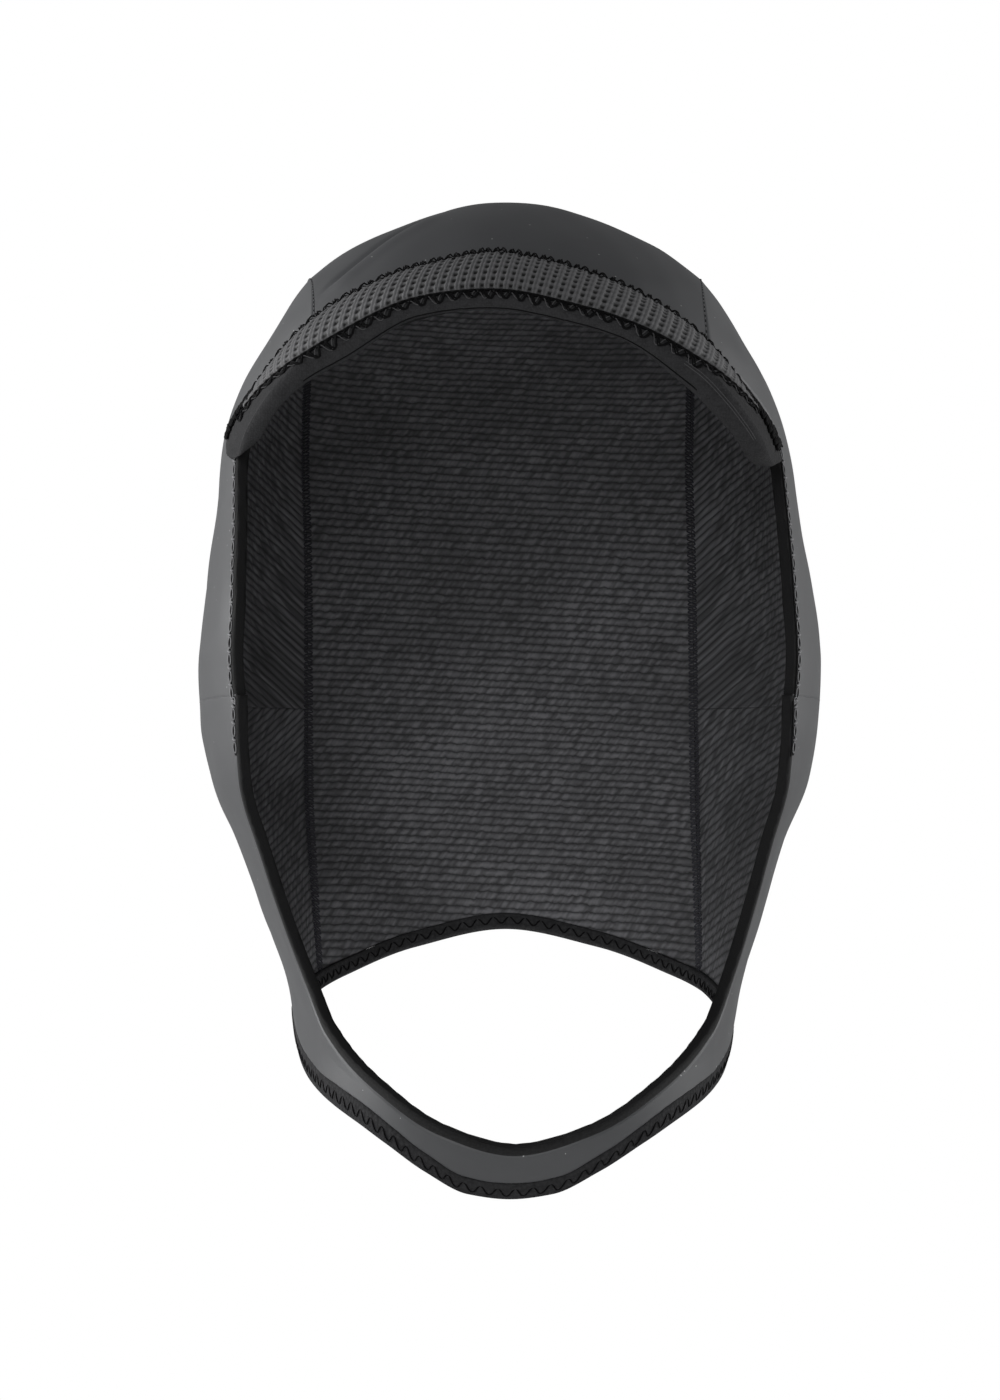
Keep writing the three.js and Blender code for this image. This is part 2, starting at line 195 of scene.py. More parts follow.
class HoodSizes(bpy.types.PropertyGroup):
    """Sizes that a maker would change"""

    wall: FloatProperty(
        name="Sheet", description="Thickness of the neoprene with its lining",
        default=0.003, unit="LENGTH", precision=4,
    )
    edge_round: FloatProperty(
        name="Edge rounding", description="Radius on the cut edge of the sheet",
        default=0.0008, unit="LENGTH", precision=4,
    )
    hem_width: FloatProperty(
        name="Hem", description="Width of the binding at the neck",
        default=0.0052, unit="LENGTH", precision=4,
    )
    bill_thickness: FloatProperty(
        name="Bill", description="Thickness of the peak's front lip",
        default=0.0052, unit="LENGTH", precision=4,
    )
    rib_pitch: FloatProperty(
        name="Webbing rib", description="Distance between two ribs of the webbing",
        default=0.0029, unit="LENGTH", precision=4,
    )
    knit_row: FloatProperty(
        name="Knit row", description="Distance between two rows of the lining's knit",
        default=0.0021, unit="LENGTH", precision=4,
    )
    edge_stitch: FloatProperty(
        name="Edge stitch", description="Length of a stitch along the face edge and the hem",
        default=0.0043, unit="LENGTH", precision=4,
    )
    bill_stitch: FloatProperty(
        name="Bill stitch", description="Length of a zigzag stitch on the peak",
        default=0.0049, unit="LENGTH", precision=4,
    )


def to_linear(code):
    """A linear colour from an sRGB hex value"""
    parts = [int(code[i:i + 2], 16) / 255 for i in (1, 3, 5)]
    return [c / 12.92 if c <= 0.04045 else ((c + 0.055) / 1.055) ** 2.4 for c in parts]


class HoodColours(bpy.types.PropertyGroup):
    """Colours of the cloths and the stage"""

    skin: FloatVectorProperty(
        name="Skin", description="Smooth outer skin of the neoprene",
        subtype="COLOR", size=3, default=to_linear("#434446"),
    )
    lining: FloatVectorProperty(
        name="Lining", description="Knit bonded to the inside",
        subtype="COLOR", size=3, default=to_linear("#414143"),
    )
    foam: FloatVectorProperty(
        name="Cut edge", description="Cut foam at the edge of the sheet",
        subtype="COLOR", size=3, default=to_linear("#131314"),
    )
    lip: FloatVectorProperty(
        name="Lip", description="Cloth round the front of the peak",
        subtype="COLOR", size=3, default=to_linear("#1b1b1c"),
    )
    webbing: FloatVectorProperty(
        name="Webbing", description="Yarn of the ribbed webbing",
        subtype="COLOR", size=3, default=to_linear("#666668"),
    )
    hem: FloatVectorProperty(
        name="Hem", description="Knit binding at the neck",
        subtype="COLOR", size=3, default=to_linear("#1a1a1b"),
    )
    # thread: near black, so that the dark threads also paint the deep shade between their loops
    thread: FloatVectorProperty(
        name="Thread", description="Sewing thread",
        subtype="COLOR", size=3, default=to_linear("#060607"),
    )
    # pale thread: worn loops, and the painted highlights on the rims of the face edge stitches
    pale_thread: FloatVectorProperty(
        name="Pale thread", description="Worn loops of thread that catch the light",
        subtype="COLOR", size=3, default=to_linear("#828284"),
    )
    floor: FloatVectorProperty(
        name="Floor", description="Studio floor",
        subtype="COLOR", size=3, default=to_linear("#f2f2f2"),
    )


# Smooth lines through the tables

def table_line(columns, rows, key, name, power=1, level_start=False):
    """A line through one column of a table that never overshoots its rows"""
    at = np.array([row[columns.index(key)] for row in rows], float)
    put = np.array([row[columns.index(name)] for row in rows], float) ** power
    rise = np.diff(put) / np.diff(at)
    slope = np.concatenate([rise[:1], np.zeros(len(rows) - 2), rise[-1:]])
    for i in range(1, len(rows) - 1):
        if rise[i - 1] * rise[i] > 0:
            slope[i] = 2 * rise[i - 1] * rise[i] / (rise[i - 1] + rise[i])
    if level_start:
        slope[0] = 0
        if at[-1] == 180:
            slope[-1] = 0
    sign = 1 if at[1] > at[0] else -1

    def line(wanted):
        wanted = np.asarray(wanted, float)
        i = np.clip(np.searchsorted(sign * at, sign * wanted) - 1, 0, len(at) - 2)
        width = at[i + 1] - at[i]
        s = np.clip((wanted - at[i]) / width, 0, 1)
        bend = s * s * (3 - 2 * s)
        lean = width * s * (1 - s)
        return put[i] + (put[i + 1] - put[i]) * bend + lean * (slope[i] * (1 - s) - slope[i + 1] * s)

    return line


side_squared, front_squared, back_squared = (
    table_line(HEAD_COLUMNS, HEAD_FORM, "z", name, power=2) for name in ("side", "front", "back"))
power_at = table_line(HEAD_COLUMNS, HEAD_FORM, "z", "power")
rim_at = table_line(RIM_COLUMNS, NECK_RIM, "turn", "z", level_start=True)
hem_share = table_line(HEM_COLUMNS, HEM_WIDTH, "turn", "share", level_start=True)
forehead_at = table_line(FOREHEAD_COLUMNS, FOREHEAD_EDGE, "x", "z", level_start=True)
temple_at = table_line(TEMPLE_COLUMNS, TEMPLE_EDGE, "z", "y")
chin_turn = table_line(CHIN_COLUMNS, CHIN_EDGE, "row", "turn")
chin_z = table_line(CHIN_COLUMNS, CHIN_EDGE, "row", "z", level_start=True)
chin_rim = table_line(CHIN_COLUMNS, CHIN_EDGE, "row", "rim")
bill_z, bill_reach, bill_drop = (
    table_line(BILL_COLUMNS, BILL, "turn", name, level_start=True) for name in ("z", "reach", "drop"))
bill_spread = table_line(BILL_COLUMNS, BILL, "turn", "spread")
skew_turn, skew_raise, skew_drop, skew_lip = (
    table_line(SKEW_COLUMNS, BILL_SKEW, "share", name) for name in SKEW_COLUMNS[1:])
lean_at = table_line(LEAN_COLUMNS, LEAN, "z", "x", level_start=True)

TOP_Z = HEAD_FORM[0][0]


# The head form

def points(x, y, z):
    return np.stack(np.broadcast_arrays(x, y, z), axis=-1).astype(float)


def mix(a, b, share):
    return a + (b - a) * share


def smooth_step(value, low, high):
    s = np.clip((value - low) / (high - low), 0, 1)
    return s * s * (3 - 2 * s)


def unit(vectors):
    return vectors / np.maximum(np.linalg.norm(vectors, axis=-1, keepdims=True), 1e-9)


def on_side(p, sign):
    """Points of the wearer's left as they are for a sign of 1, and mirrored to the right for -1"""
    return p * np.array([sign, 1, 1])


def section(z):
    """Half width, reaches and roundness of the head at a level"""
    reach = [np.sqrt(np.maximum(line(z), 1e-9)) for line in (side_squared, front_squared, back_squared)]
    return (*reach, power_at(z))


def level(p):
    """Below 0 inside the head form and above 0 outside it"""
    side, front, back, power = section(p[..., 2])
    reach = np.where(p[..., 1] < MIDDLE_Y, front, back)
    value = (np.abs(p[..., 0]) / side) ** power + (np.abs(p[..., 1] - MIDDLE_Y) / reach) ** power - 1
    return np.where(p[..., 2] >= TOP_Z, 1.0, value)


def outward(p):
    """The head's normal at a point"""
    h = 0.2
    slopes = []
    for axis in range(3):
        step = np.zeros(3)
        step[axis] = h
        slopes.append(level(p + step) - level(p - step))
    sloped = unit(np.stack(slopes, axis=-1))
    top = dict(zip(HEAD_COLUMNS, HEAD_FORM[1]))
    drop = TOP_Z - top["z"]
    dome = unit(points(
        2 * drop * p[..., 0] / top["side"] ** 2,
        2 * drop * (p[..., 1] - MIDDLE_Y) / top["front"] ** 2,
        np.ones(p.shape[:-1]),
    ))
    return np.where((p[..., 2] > TOP_Z - 0.6)[..., None], dome, sloped)


def around(turn, z):
    """The point on the form in a direction round the head, at one level"""
    side, front, back, power = section(z)
    sine = np.sin(np.radians(turn))
    cosine = np.cos(np.radians(turn))
    reach = np.where(cosine > 0, front, back)
    r = ((np.abs(sine) / side) ** power + (np.abs(cosine) / reach) ** power) ** (-1 / power)
    return points(r * sine, MIDDLE_Y - r * cosine, z)


def turn_of(p):
    return np.degrees(np.arctan2(np.abs(p[..., 0]), MIDDLE_Y - p[..., 1]))


def beside(y, z):
    """The point on the form that is level with y and z, on the wearer's left"""
    side, front, back, power = section(z)
    share = np.minimum(1, np.abs(y - MIDDLE_Y) / np.where(y < MIDDLE_Y, front, back))
    return points(side * (1 - share ** power) ** (1 / power), y, z)


def over_top(x, fan):
    """The point on the form that a ray of the crown's fan meets, 0 degrees forward and 90 up"""
    dy = -np.cos(np.radians(fan))
    dz = np.sin(np.radians(fan))
    near = np.zeros(np.broadcast(x, fan).shape)
    far = near + 170
    for _ in range(30):
        middle = (near + far) / 2
        inside = level(points(x, PIVOT_Y + dy * middle, PIVOT_Z + dz * middle)) < 0
        near = np.where(inside, middle, near)
        far = np.where(inside, far, middle)
    return points(x, PIVOT_Y + dy * near, PIVOT_Z + dz * near)


# Half the width of the crown panel at the forehead, and how much wider that is at the nape
CROWN_HALF = 48.5
CROWN_GAIN = 4.5


def seam_x(y):
    return CROWN_HALF + CROWN_GAIN * smooth_step(y, -45, 95)


def crown_point(share, fan):
    p = over_top(share * seam_x(0), fan)
    for _ in range(4):
        p = over_top(share * seam_x(p[..., 1]), fan)
    return p


def above_rim(turn, distance):
    z = rim_at(turn)
    per_mm = np.linalg.norm(around(turn, z + 1) - around(turn, z), axis=-1)
    return z + distance / per_mm


def hem_top(turn, width, clear=0):
    """Height of the binding's upper edge, with some clearance"""
    return above_rim(turn, width * hem_share(turn) + clear)


def fan_where(share, low, high, beyond):
    inner = np.full(np.shape(share), float(low))
    outer = np.full(np.shape(share), float(high))
    for _ in range(22):
        middle = (inner + outer) / 2
        past = beyond(crown_point(share, middle))
        outer = np.where(past, middle, outer)
        inner = np.where(past, inner, middle)
    return (inner + outer) / 2


def ridged(p):
    """The panels rise to a low ridge at the two crown seams"""
    away = np.minimum(1, np.abs(np.abs(p[..., 0]) - seam_x(p[..., 1])) / RIDGE_WIDTH)
    return p + outward(p) * (RIDGE_HEIGHT * (1 - away) ** 2)[..., None]


# Soft waves that stretched neoprene keeps: size, then waves per millimetre along x, y and z, and phase
WAVES = (
    (0.16, 0.011, 0.017, 0.023, 0.4),
    (0.12, -0.024, 0.013, 0.031, 1.9),
    (0.08, 0.037, -0.029, 0.017, 3.1),
    (0.05, 0.051, 0.044, -0.049, 5.2),
)


def waves(p):
    total = np.zeros(p.shape[:-1])
    for size, fx, fy, fz, phase in WAVES:
        total = total + size * np.sin(math.tau * (p @ np.array([fx, fy, fz])) + phase)
    return total


# Meshes

def steps(count, length=0, near=()):
    """Shares from 0 to 1, with more of them near both ends of a run of a length"""
    ends = [d / length for d in near] if length else []
    shares = list(np.linspace(0, 1, count + 1)) + ends + [1 - s for s in ends]
    return np.array(sorted(set(np.round(shares, 6))))


def new_piece(name, places, faces, looks, nodes=(), face_looks=None, cloth=None, marks=None):
    """A mesh in metres that rides on the hood, with its looks"""
    places = np.asarray(places, float)
    leaning = places + points(lean_at(places[:, 2]), 0, 0)
    mesh = bpy.data.meshes.new(name)
    mesh.from_pydata((leaning * MM).tolist(), [], list(map(tuple, faces)))
    for look in looks:
        mesh.materials.append(look)
    if face_looks is not None:
        mesh.polygons.foreach_set("material_index", np.asarray(face_looks, np.int32))
    loops = np.zeros(len(mesh.loops), np.int32)
    mesh.loops.foreach_get("vertex_index", loops)
    if cloth is not None:
        layer = mesh.uv_layers.new(name="cloth")
        layer.data.foreach_set("uv", (np.asarray(cloth)[loops] * MM).astype(np.float32).ravel())
    for field, values in (marks or {}).items():
        attribute = mesh.attributes.new(field, "FLOAT", "POINT")
        attribute.data.foreach_set("value", np.asarray(values, np.float32))
    mesh.validate()
    mesh.shade_smooth()
    piece = bpy.data.objects.new(name, mesh)
    bpy.context.scene.collection.objects.link(piece)
    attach(piece, "root")
    if nodes:
        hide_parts(*nodes)
    return piece


def grid_faces(rows, columns, start=0):
    """Quads over a grid of points"""
    order = start + np.arange(rows * columns).reshape(rows, columns)
    corners = [order[:-1, :-1], order[:-1, 1:], order[1:, 1:], order[1:, :-1]]
    return np.stack(corners, axis=-1).reshape(-1, 4)


def ring_faces(rings):
    """Quads between each closed ring of point numbers and the next"""
    here = np.asarray(rings)[:-1]
    there = np.asarray(rings)[1:]
    corners = [here, np.roll(here, -1, axis=1), np.roll(there, -1, axis=1), there]
    return np.stack(corners, axis=-1).reshape(-1, 4)


def run_lengths(grid, axis):
    """Distance along the grid's rows or columns from its first line"""
    hop = np.linalg.norm(np.diff(grid, axis=axis), axis=-1)
    start = np.zeros_like(np.take(hop, [0], axis=axis))
    return np.concatenate([start, np.cumsum(hop, axis=axis)], axis=axis)


def distance_to(lines, grid):
    """Distance of each point of a grid from the nearest of some lines of points"""
    near = np.full(grid.shape[:2], np.inf)
    for line in lines:
        length = run_lengths(line, 0)
        fine = np.linspace(0, length[-1], int(length[-1] / 0.5) + 2)
        dots = np.stack([np.interp(fine, length, line[:, k]) for k in range(3)], axis=-1)
        for i, row in enumerate(grid):
            gap = np.linalg.norm(row[:, None, :] - dots[None, :, :], axis=-1).min(axis=1)
            near[i] = np.minimum(near[i], gap)
    return near


def rounded(distance, radius):
    """Depth of a rounded edge at a distance from it"""
    d = np.clip(1 - distance / radius, 0, 1)
    return radius * (1 - np.sqrt(1 - d * d))


EDGE_STEPS = (0.12, 0.3, 0.55, 0.9, 1.5, 1.9, 2.2, 2.5, 3)
SEAM_CLEAR = 0.12
SEAM_ROUND = 0.35  # rounding of a glued edge, as a share of that of an open one
LINING_ROUND = 0.6  # and of the lining's edge
FOAM_BULGE = 0.12  # how far the cut foam stands out between skin and lining
BINDING = 2.2  # width of the dark turned edge round the face
BINDING_GROOVE = 0.3  # depth of the groove beside it
TEMPLE_BINDING = 1.6  # how many times narrower it is above the chin strap
INNER_BINDING = 4.6  # its width on the lining
FACE_STITCHES = 2  # distance of the stitches from the face edge


def panel(name, grid, cloth, knit, node, sizes, free, seams, shape=None):
    """A sheet of neoprene: skin outside, knit inside and a soft cut edge of foam all round.
    free are the lines of its open edges, and seams the lines where it meets other pieces."""
    wall = sizes.wall / MM
    radius = sizes.edge_round / MM
    from_open = distance_to(free, grid)
    from_edge = np.minimum(from_open, distance_to(seams, grid))
    base = ridged(grid)
    normal = outward(grid)
    depth = np.maximum(rounded(from_open, radius), rounded(from_edge, radius * SEAM_ROUND))
    lift = waves(grid) * smooth_step(from_edge, 0, 12)
    lift = lift - BINDING_GROOVE * np.exp(-((from_open - BINDING) / 0.3) ** 2)
    if shape is not None:
        lift = lift + shape(grid)
    sunk = lift - wall + rounded(from_edge, radius * LINING_ROUND)
    outer = (base + normal * (lift - depth)[..., None]).reshape(-1, 3)
    inner = (base + normal * sunk[..., None]).reshape(-1, 3)

    rows, columns = grid.shape[:2]
    size = rows * columns
    order = np.arange(size).reshape(rows, columns)
    border = np.concatenate([order[0, :-1], order[:-1, -1], order[-1, :0:-1], order[:0:-1, 0]])
    up = normal.reshape(-1, 3)[border]
    away = unit(outer[border] - grid[1:-1, 1:-1].reshape(-1, 3).mean(axis=0))
    bulge = unit(away - up * np.sum(away * up, axis=1, keepdims=True)) * FOAM_BULGE
    foam = [mix(outer[border], inner[border], share) + bulge for share in (0.3, 0.7)]

    ring = 2 * size + np.arange(len(border))
    outer_quads = grid_faces(rows, columns)
    inner_quads = grid_faces(rows, columns, start=size)
    foam_quads = ring_faces([border, ring, ring + len(border), size + border])
    faces = np.concatenate([outer_quads, inner_quads[:, ::-1], foam_quads[:, ::-1]])
    a, b, c, _ = outer[outer_quads[len(outer_quads) // 2]]
    if np.dot(np.cross(b - a, c - a), outward(grid[rows // 2, columns // 2])) < 0:
        faces = faces[:, ::-1]

    def everywhere(values):
        return np.concatenate([values, values, values[border], values[border]])

    narrower = mix(1, TEMPLE_BINDING, smooth_step(grid[..., 2], -160, -130))
    edge = everywhere((from_open * narrower).ravel()) * MM
    face_looks = np.repeat((0, 1, 2), (len(outer_quads), len(inner_quads), len(foam_quads)))
    looks = [look_for("skin"), look_for(knit), look_for("foam")]
    new_piece(name, np.concatenate([outer, inner, *foam]), faces, looks, (node,),
              face_looks, everywhere(cloth.reshape(-1, 2)), {"edge": edge})


def tube(path, normal, radius, flat=1.0, sides=6):
    """Places and faces of a thread along a path, with closed ends. flat is its height for its width."""
    path = np.asarray(path, float)
    ahead = unit(np.gradient(path, axis=0))
    across = unit(np.cross(ahead, normal))
    up = np.cross(across, ahead)
    angles = np.arange(sides) * math.tau / sides
    radius = np.broadcast_to(radius, len(path))[:, None, None]
    ring = np.cos(angles)[None, :, None] * across[:, None, :]
    ring = ring + flat * np.sin(angles)[None, :, None] * up[:, None, :]
    places = (path[:, None, :] + ring * radius).reshape(-1, 3)
    order = np.arange(len(places)).reshape(-1, sides)
    faces = ring_faces(order).tolist()
    first, last = order[0].tolist(), order[-1].tolist()
    for j in range(sides):
        k = (j + 1) % sides
        faces.append([len(places), first[k], first[j]])
        faces.append([len(places) + 1, last[j], last[k]])
    return np.concatenate([places, path[:1], path[-1:]]), faces


def threads(name, runs, look):
    """Many threads as one piece, each run a path, its normals, a radius and perhaps its flatness"""
    places = []
    faces = []
    start = 0
    for run in runs:
        run_places, run_faces = tube(*run)
        places.append(run_places)
        faces.extend([i + start for i in face] for face in run_faces)
        start += len(run_places)
    new_piece(name, np.concatenate(places), faces, [look_for(look)])


def evenly(path, pitch, per_stitch):
    """Points at even distances along a path, some for each stitch, and the number of stitches"""
    length = run_lengths(path, 0)
    count = max(2, int(round(length[-1] / pitch)))
    wanted = np.linspace(0, length[-1], count * per_stitch + 1)
    return np.stack([np.interp(wanted, length, path[:, k]) for k in range(3)], axis=-1), count


# Materials

def fill(tree, node, inputs):
    """Fill a node's inputs with values or with other nodes' outputs"""
    for key, value in inputs.items():
        if isinstance(value, bpy.types.NodeSocket):
            tree.links.new(value, node.inputs[key])
        else:
            node.inputs[key].default_value = value


def add(tree, kind, inputs=None, **settings):
    """Add a node with its settings and links"""
    made = tree.nodes.new(kind)
    for field, value in settings.items():
        setattr(made, field, value)
    fill(tree, made, inputs or {})
    return made


def new_look(name):
    """An empty material, its node tree and its shader"""
    look = bpy.data.materials.new(name)
    look.use_nodes = True
    tree = look.node_tree
    tree.nodes.clear()
    shader = add(tree, "ShaderNodeBsdfPrincipled")
    add(tree, "ShaderNodeOutputMaterial", {"Surface": shader.outputs["BSDF"]})
    return look, tree, shader


def rgba(colour, share=1.0):
    return (*[c * share for c in colour], 1.0)


def blend(tree, share, a, b):
    return add(tree, "ShaderNodeMix", {"Factor": share, "A": a, "B": b}, data_type="RGBA").outputs[2]


def calc(tree, operation, *values):
    return add(tree, "ShaderNodeMath", dict(enumerate(values)), operation=operation).outputs[0]


def span(tree, value, low, high, at_low=0.0, at_high=1.0):
    """A value between low and high, moved to another range and held within it"""
    return add(tree, "ShaderNodeMapRange", {
        "Value": value, "From Min": low, "From Max": high, "To Min": at_low, "To Max": at_high,
    }).outputs[0]


def object_place(tree):
    return add(tree, "ShaderNodeTexCoord").outputs["Object"]


def noise(tree, place, scale, detail=2.0):
    inputs = {"Vector": place, "Scale": scale, "Detail": detail}
    return add(tree, "ShaderNodeTexNoise", inputs).outputs["Fac"]


def cells(tree, place, scale, randomness=1.0):
    """Distance from the nearest cell's middle, and the colour of the cell"""
    inputs = {"Vector": place, "Scale": scale, "Randomness": randomness}
    made = add(tree, "ShaderNodeTexVoronoi", inputs)
    return made.outputs["Distance"], made.outputs["Color"]


def relief(tree, height, strength, distance, invert=False):
    inputs = {"Height": height, "Strength": strength, "Distance": distance}
    return add(tree, "ShaderNodeBump", inputs, invert=invert).outputs["Normal"]


def bound_edge(tree, width, blur):
    """1 on the bound edge round the face and 0 beyond its width, both in millimetres"""
    edge = add(tree, "ShaderNodeAttribute", attribute_name="edge").outputs["Fac"]
    return span(tree, edge, (width - blur) * MM, (width + blur) * MM, 1.0, 0.0)


DUST = to_linear("#9e9e9e")


def moulded_skin(colour, edge_colour):
    """Smooth-skin neoprene, moulded against a plate: satin, with a faint pebble and specks of dust"""
    look, tree, shader = new_look("smooth_skin_neoprene")
    place = object_place(tree)
    tone = blend(tree, noise(tree, place, 28.0, 3.0), rgba(colour, 0.88), rgba(colour, 1.12))
    # dust: a speck about every 10 mm, drawn 0.5 mm across so that it shows
    away, chance = cells(tree, place, 300.0)
    lot = add(tree, "ShaderNodeSeparateColor", {"Color": chance}).outputs[0]
    speck = calc(tree, "LESS_THAN", away, 0.065)
    rare = calc(tree, "GREATER_THAN", lot, 0.6)
    dusty = blend(tree, calc(tree, "MULTIPLY", speck, rare), tone, rgba(DUST))
    # the edge round the face is turned in and bound in dark cloth
    bound = bound_edge(tree, BINDING, 0.1)
    weave, _ = cells(tree, place, 1600.0)
    binding = blend(tree, weave, rgba(edge_colour, 1.5), rgba(edge_colour, 0.3))
    # the pebble of the moulding plate is 0.4 mm wide
    fill(tree, shader, {
        "Base Color": blend(tree, bound, dusty, binding),
        "Roughness": span(tree, bound, 0.0, 1.0, 0.5, 0.95),
        "IOR": 1.5,
        "Normal": relief(tree, noise(tree, place, 2500.0), 0.25, 0.00006),
    })
    return look


def cut_foam(colour):
    """Cut and sealed neoprene foam: matt, almost black, with fine pores"""
    look, tree, shader = new_look("cut_neoprene_foam")
    pores, _ = cells(tree, object_place(tree), 2800.0)
    fill(tree, shader, {
        "Base Color": blend(tree, pores, rgba(colour, 0.7), rgba(colour, 1.2)),
        "Roughness": 0.85,
        "IOR": 1.3,
        "Normal": relief(tree, pores, 0.3, 0.0001),
    })
    return look


def rib_knit(name, colour, edge_colour, row, stitch, turn, ragged):
    """Ribbed nylon knit: ropes of short stitches coloured by their height, lighter on top as a painted
    highlight and darker in the grooves between as painted shade.
    turn is the direction of the rows, in degrees on the cloth, and ragged how uneven they are."""
    look, tree, shader = new_look(name)
    cloth = add(tree, "ShaderNodeUVMap", uv_map="cloth").outputs["UV"]
    turned = add(tree, "ShaderNodeVectorRotate", {
        "Vector": cloth, "Angle": math.radians(turn),
    }, rotation_type="Z_AXIS").outputs[0]
    laid = add(tree, "ShaderNodeVectorMath", {
        0: turned, 1: (1 / stitch, 1 / row, 1.0),
    }, operation="MULTIPLY").outputs[0]
    along, across, _ = add(tree, "ShaderNodeSeparateXYZ", {0: laid}).outputs
    # each row wanders a little, and its stitches rise from left to right
    wander = calc(tree, "SUBTRACT", noise(tree, laid, 1.3), 0.5)
    swayed = calc(tree, "MULTIPLY_ADD", wander, 0.6 * ragged, across)
    row_shift = calc(tree, "MULTIPLY", calc(tree, "FLOOR", swayed), 7.3)
    in_row = calc(tree, "FRACT", swayed)
    leaning = calc(tree, "MULTIPLY_ADD", in_row, 0.5, along)
    place = add(tree, "ShaderNodeCombineXYZ", {0: leaning, 1: row_shift}).outputs[0]
    bead = span(tree, noise(tree, place, 1.7, 1.0), 0.3, 0.7)
    rope = calc(tree, "POWER", calc(tree, "SINE", calc(tree, "MULTIPLY", in_row, math.pi)), 0.8)
    height = calc(tree, "MULTIPLY", rope, calc(tree, "MULTIPLY_ADD", bead, 0.7, 0.3))
    # noise that makes the painted highlight and shade stronger in some patches and weaker in others
    worn = calc(tree, "MULTIPLY_ADD", noise(tree, cloth, 24.0), 1.5, 0.25)
    share = calc(tree, "MULTIPLY", height, worn)
    # painted highlight on the ropes and painted shade in the grooves, by the ropes' height
    tone = blend(tree, share, rgba(colour, 0.42), rgba(colour, 2.9))
    # the binding of the face edge covers the knit beside it
    fill(tree, shader, {
        "Base Color": blend(tree, bound_edge(tree, INNER_BINDING, 0.3), tone, rgba(edge_colour)),
        "Roughness": 0.85,
        "IOR": 1.4,
        "Normal": relief(tree, height, 0.8, 0.0004),
    })
    return look


def wrapped_knit(name, colour, grain):
    """Fine stretch knit wrapped over foam: matt, with a close grain of loops. grain is in metres."""
    look, tree, shader = new_look(name)
    place = object_place(tree)
    loops, _ = cells(tree, place, 1 / grain, 0.7)
    share = calc(tree, "MULTIPLY", loops, noise(tree, place, 0.3 / grain))
    fill(tree, shader, {
        "Base Color": blend(tree, share, rgba(colour, 2.6), rgba(colour, 0.1)),
        "Roughness": 0.9,
        "IOR": 1.3,
        "Normal": relief(tree, loops, 0.6, grain * 0.4, invert=True),
    })
    return look


def woven_yarn(colour):
    """Polyester webbing yarn: dull, with fine filaments along it, lighter where it stands proud and near
    black in its holes and low parts as painted shade
    """
    look, tree, shader = new_look("woven_polyester_webbing")
    raised = add(tree, "ShaderNodeAttribute", attribute_name="raised").outputs["Fac"]
    share = add(tree, "ShaderNodeMath", {0: raised, 1: 1.6}, operation="POWER", use_clamp=True)
    # the tone follows how raised the yarn is: painted shade in the holes and low parts
    tone = blend(tree, share.outputs[0], rgba(colour, 0.01), rgba(colour, 1.15))
    fibre = noise(tree, object_place(tree), 2600.0)
    fill(tree, shader, {
        "Base Color": blend(tree, calc(tree, "MULTIPLY", fibre, 0.6), tone, (0.0, 0.0, 0.0, 1.0)),
        "Roughness": 0.7,
        "Normal": relief(tree, fibre, 0.5, 0.00015),
    })
    return look


def spun_thread(name, colour):
    """Spun polyester thread: matt with a slight fuzz"""
    look, tree, shader = new_look(name)
    ply = noise(tree, object_place(tree), 3200.0, 1.0)
    fill(tree, shader, {
        "Base Color": blend(tree, ply, rgba(colour, 0.6), rgba(colour, 1.5)),
        "Roughness": 0.9,
        "IOR": 1.22,
    })
    return look


def seam_glue(colour):
    """Bead of dried seam glue: smooth and glossier than the skin beside it"""
    look, tree, shader = new_look("dried_seam_glue")
    ripple = noise(tree, object_place(tree), 900.0)
    fill(tree, shader, {
        "Base Color": blend(tree, ripple, rgba(colour, 0.6), rgba(colour, 1.6)),
        "Roughness": 0.38,
    })
    return look


# Knit in each panel: length of a stitch in rows, direction of the rows in degrees, and unevenness
KNITS = {"crown": (1.2, -3, 1.0), "left": (1.6, 0, 1.0), "right": (1.6, 0, 1.0), "jaw": (1.6, 0, 0.9)}

# Threads that differ from the plain dark one, as shares of a colour: the seam thread inside is a covering
# stitch, darker than the knit so that it also paints the shade in the valley of each seam, and the other is
# worn thread that has lost its dye, also used for painted highlights on the peak's stitches
SEAM_THREAD_SHARE = 20
WORN_AND_HIGHLIGHT_THREAD_SHARE = 0.27

LOOKS = {}


def look_for(name):
    """The shared materials, made once from the scene's colours"""
    if not LOOKS:
        colours = bpy.context.scene.hood_colours
        row = bpy.context.scene.hood_sizes.knit_row
        seam_thread = [SEAM_THREAD_SHARE * c for c in colours.thread]
        worn_and_highlight_thread = [WORN_AND_HIGHLIGHT_THREAD_SHARE * c for c in colours.pale_thread]
        LOOKS["skin"] = moulded_skin(colours.skin, colours.foam)
        LOOKS["foam"] = cut_foam(colours.foam)
        for area, (stitch, turn, ragged) in KNITS.items():
            LOOKS[area + "_knit"] = rib_knit("ribbed_knit_" + area, colours.lining, colours.foam,
                                             row, row * stitch, turn, ragged)
        LOOKS["lip"] = wrapped_knit("stretch_knit_lip", colours.lip, 0.0006)
        LOOKS["hem"] = wrapped_knit("stretch_knit_hem", colours.hem, 0.0011)
        LOOKS["webbing"] = woven_yarn(colours.webbing)
        LOOKS["thread"] = spun_thread("spun_polyester_thread", colours.thread)
        LOOKS["seam_thread"] = spun_thread("spun_polyester_seam_thread", seam_thread)
        LOOKS["worn_and_highlight_thread"] = spun_thread("worn_and_highlight_polyester_thread", worn_and_highlight_thread)
        LOOKS["pale_thread"] = spun_thread("spun_polyester_pale_thread", colours.pale_thread)
        LOOKS["glue"] = seam_glue(colours.skin)
    return LOOKS[name]


# Panels

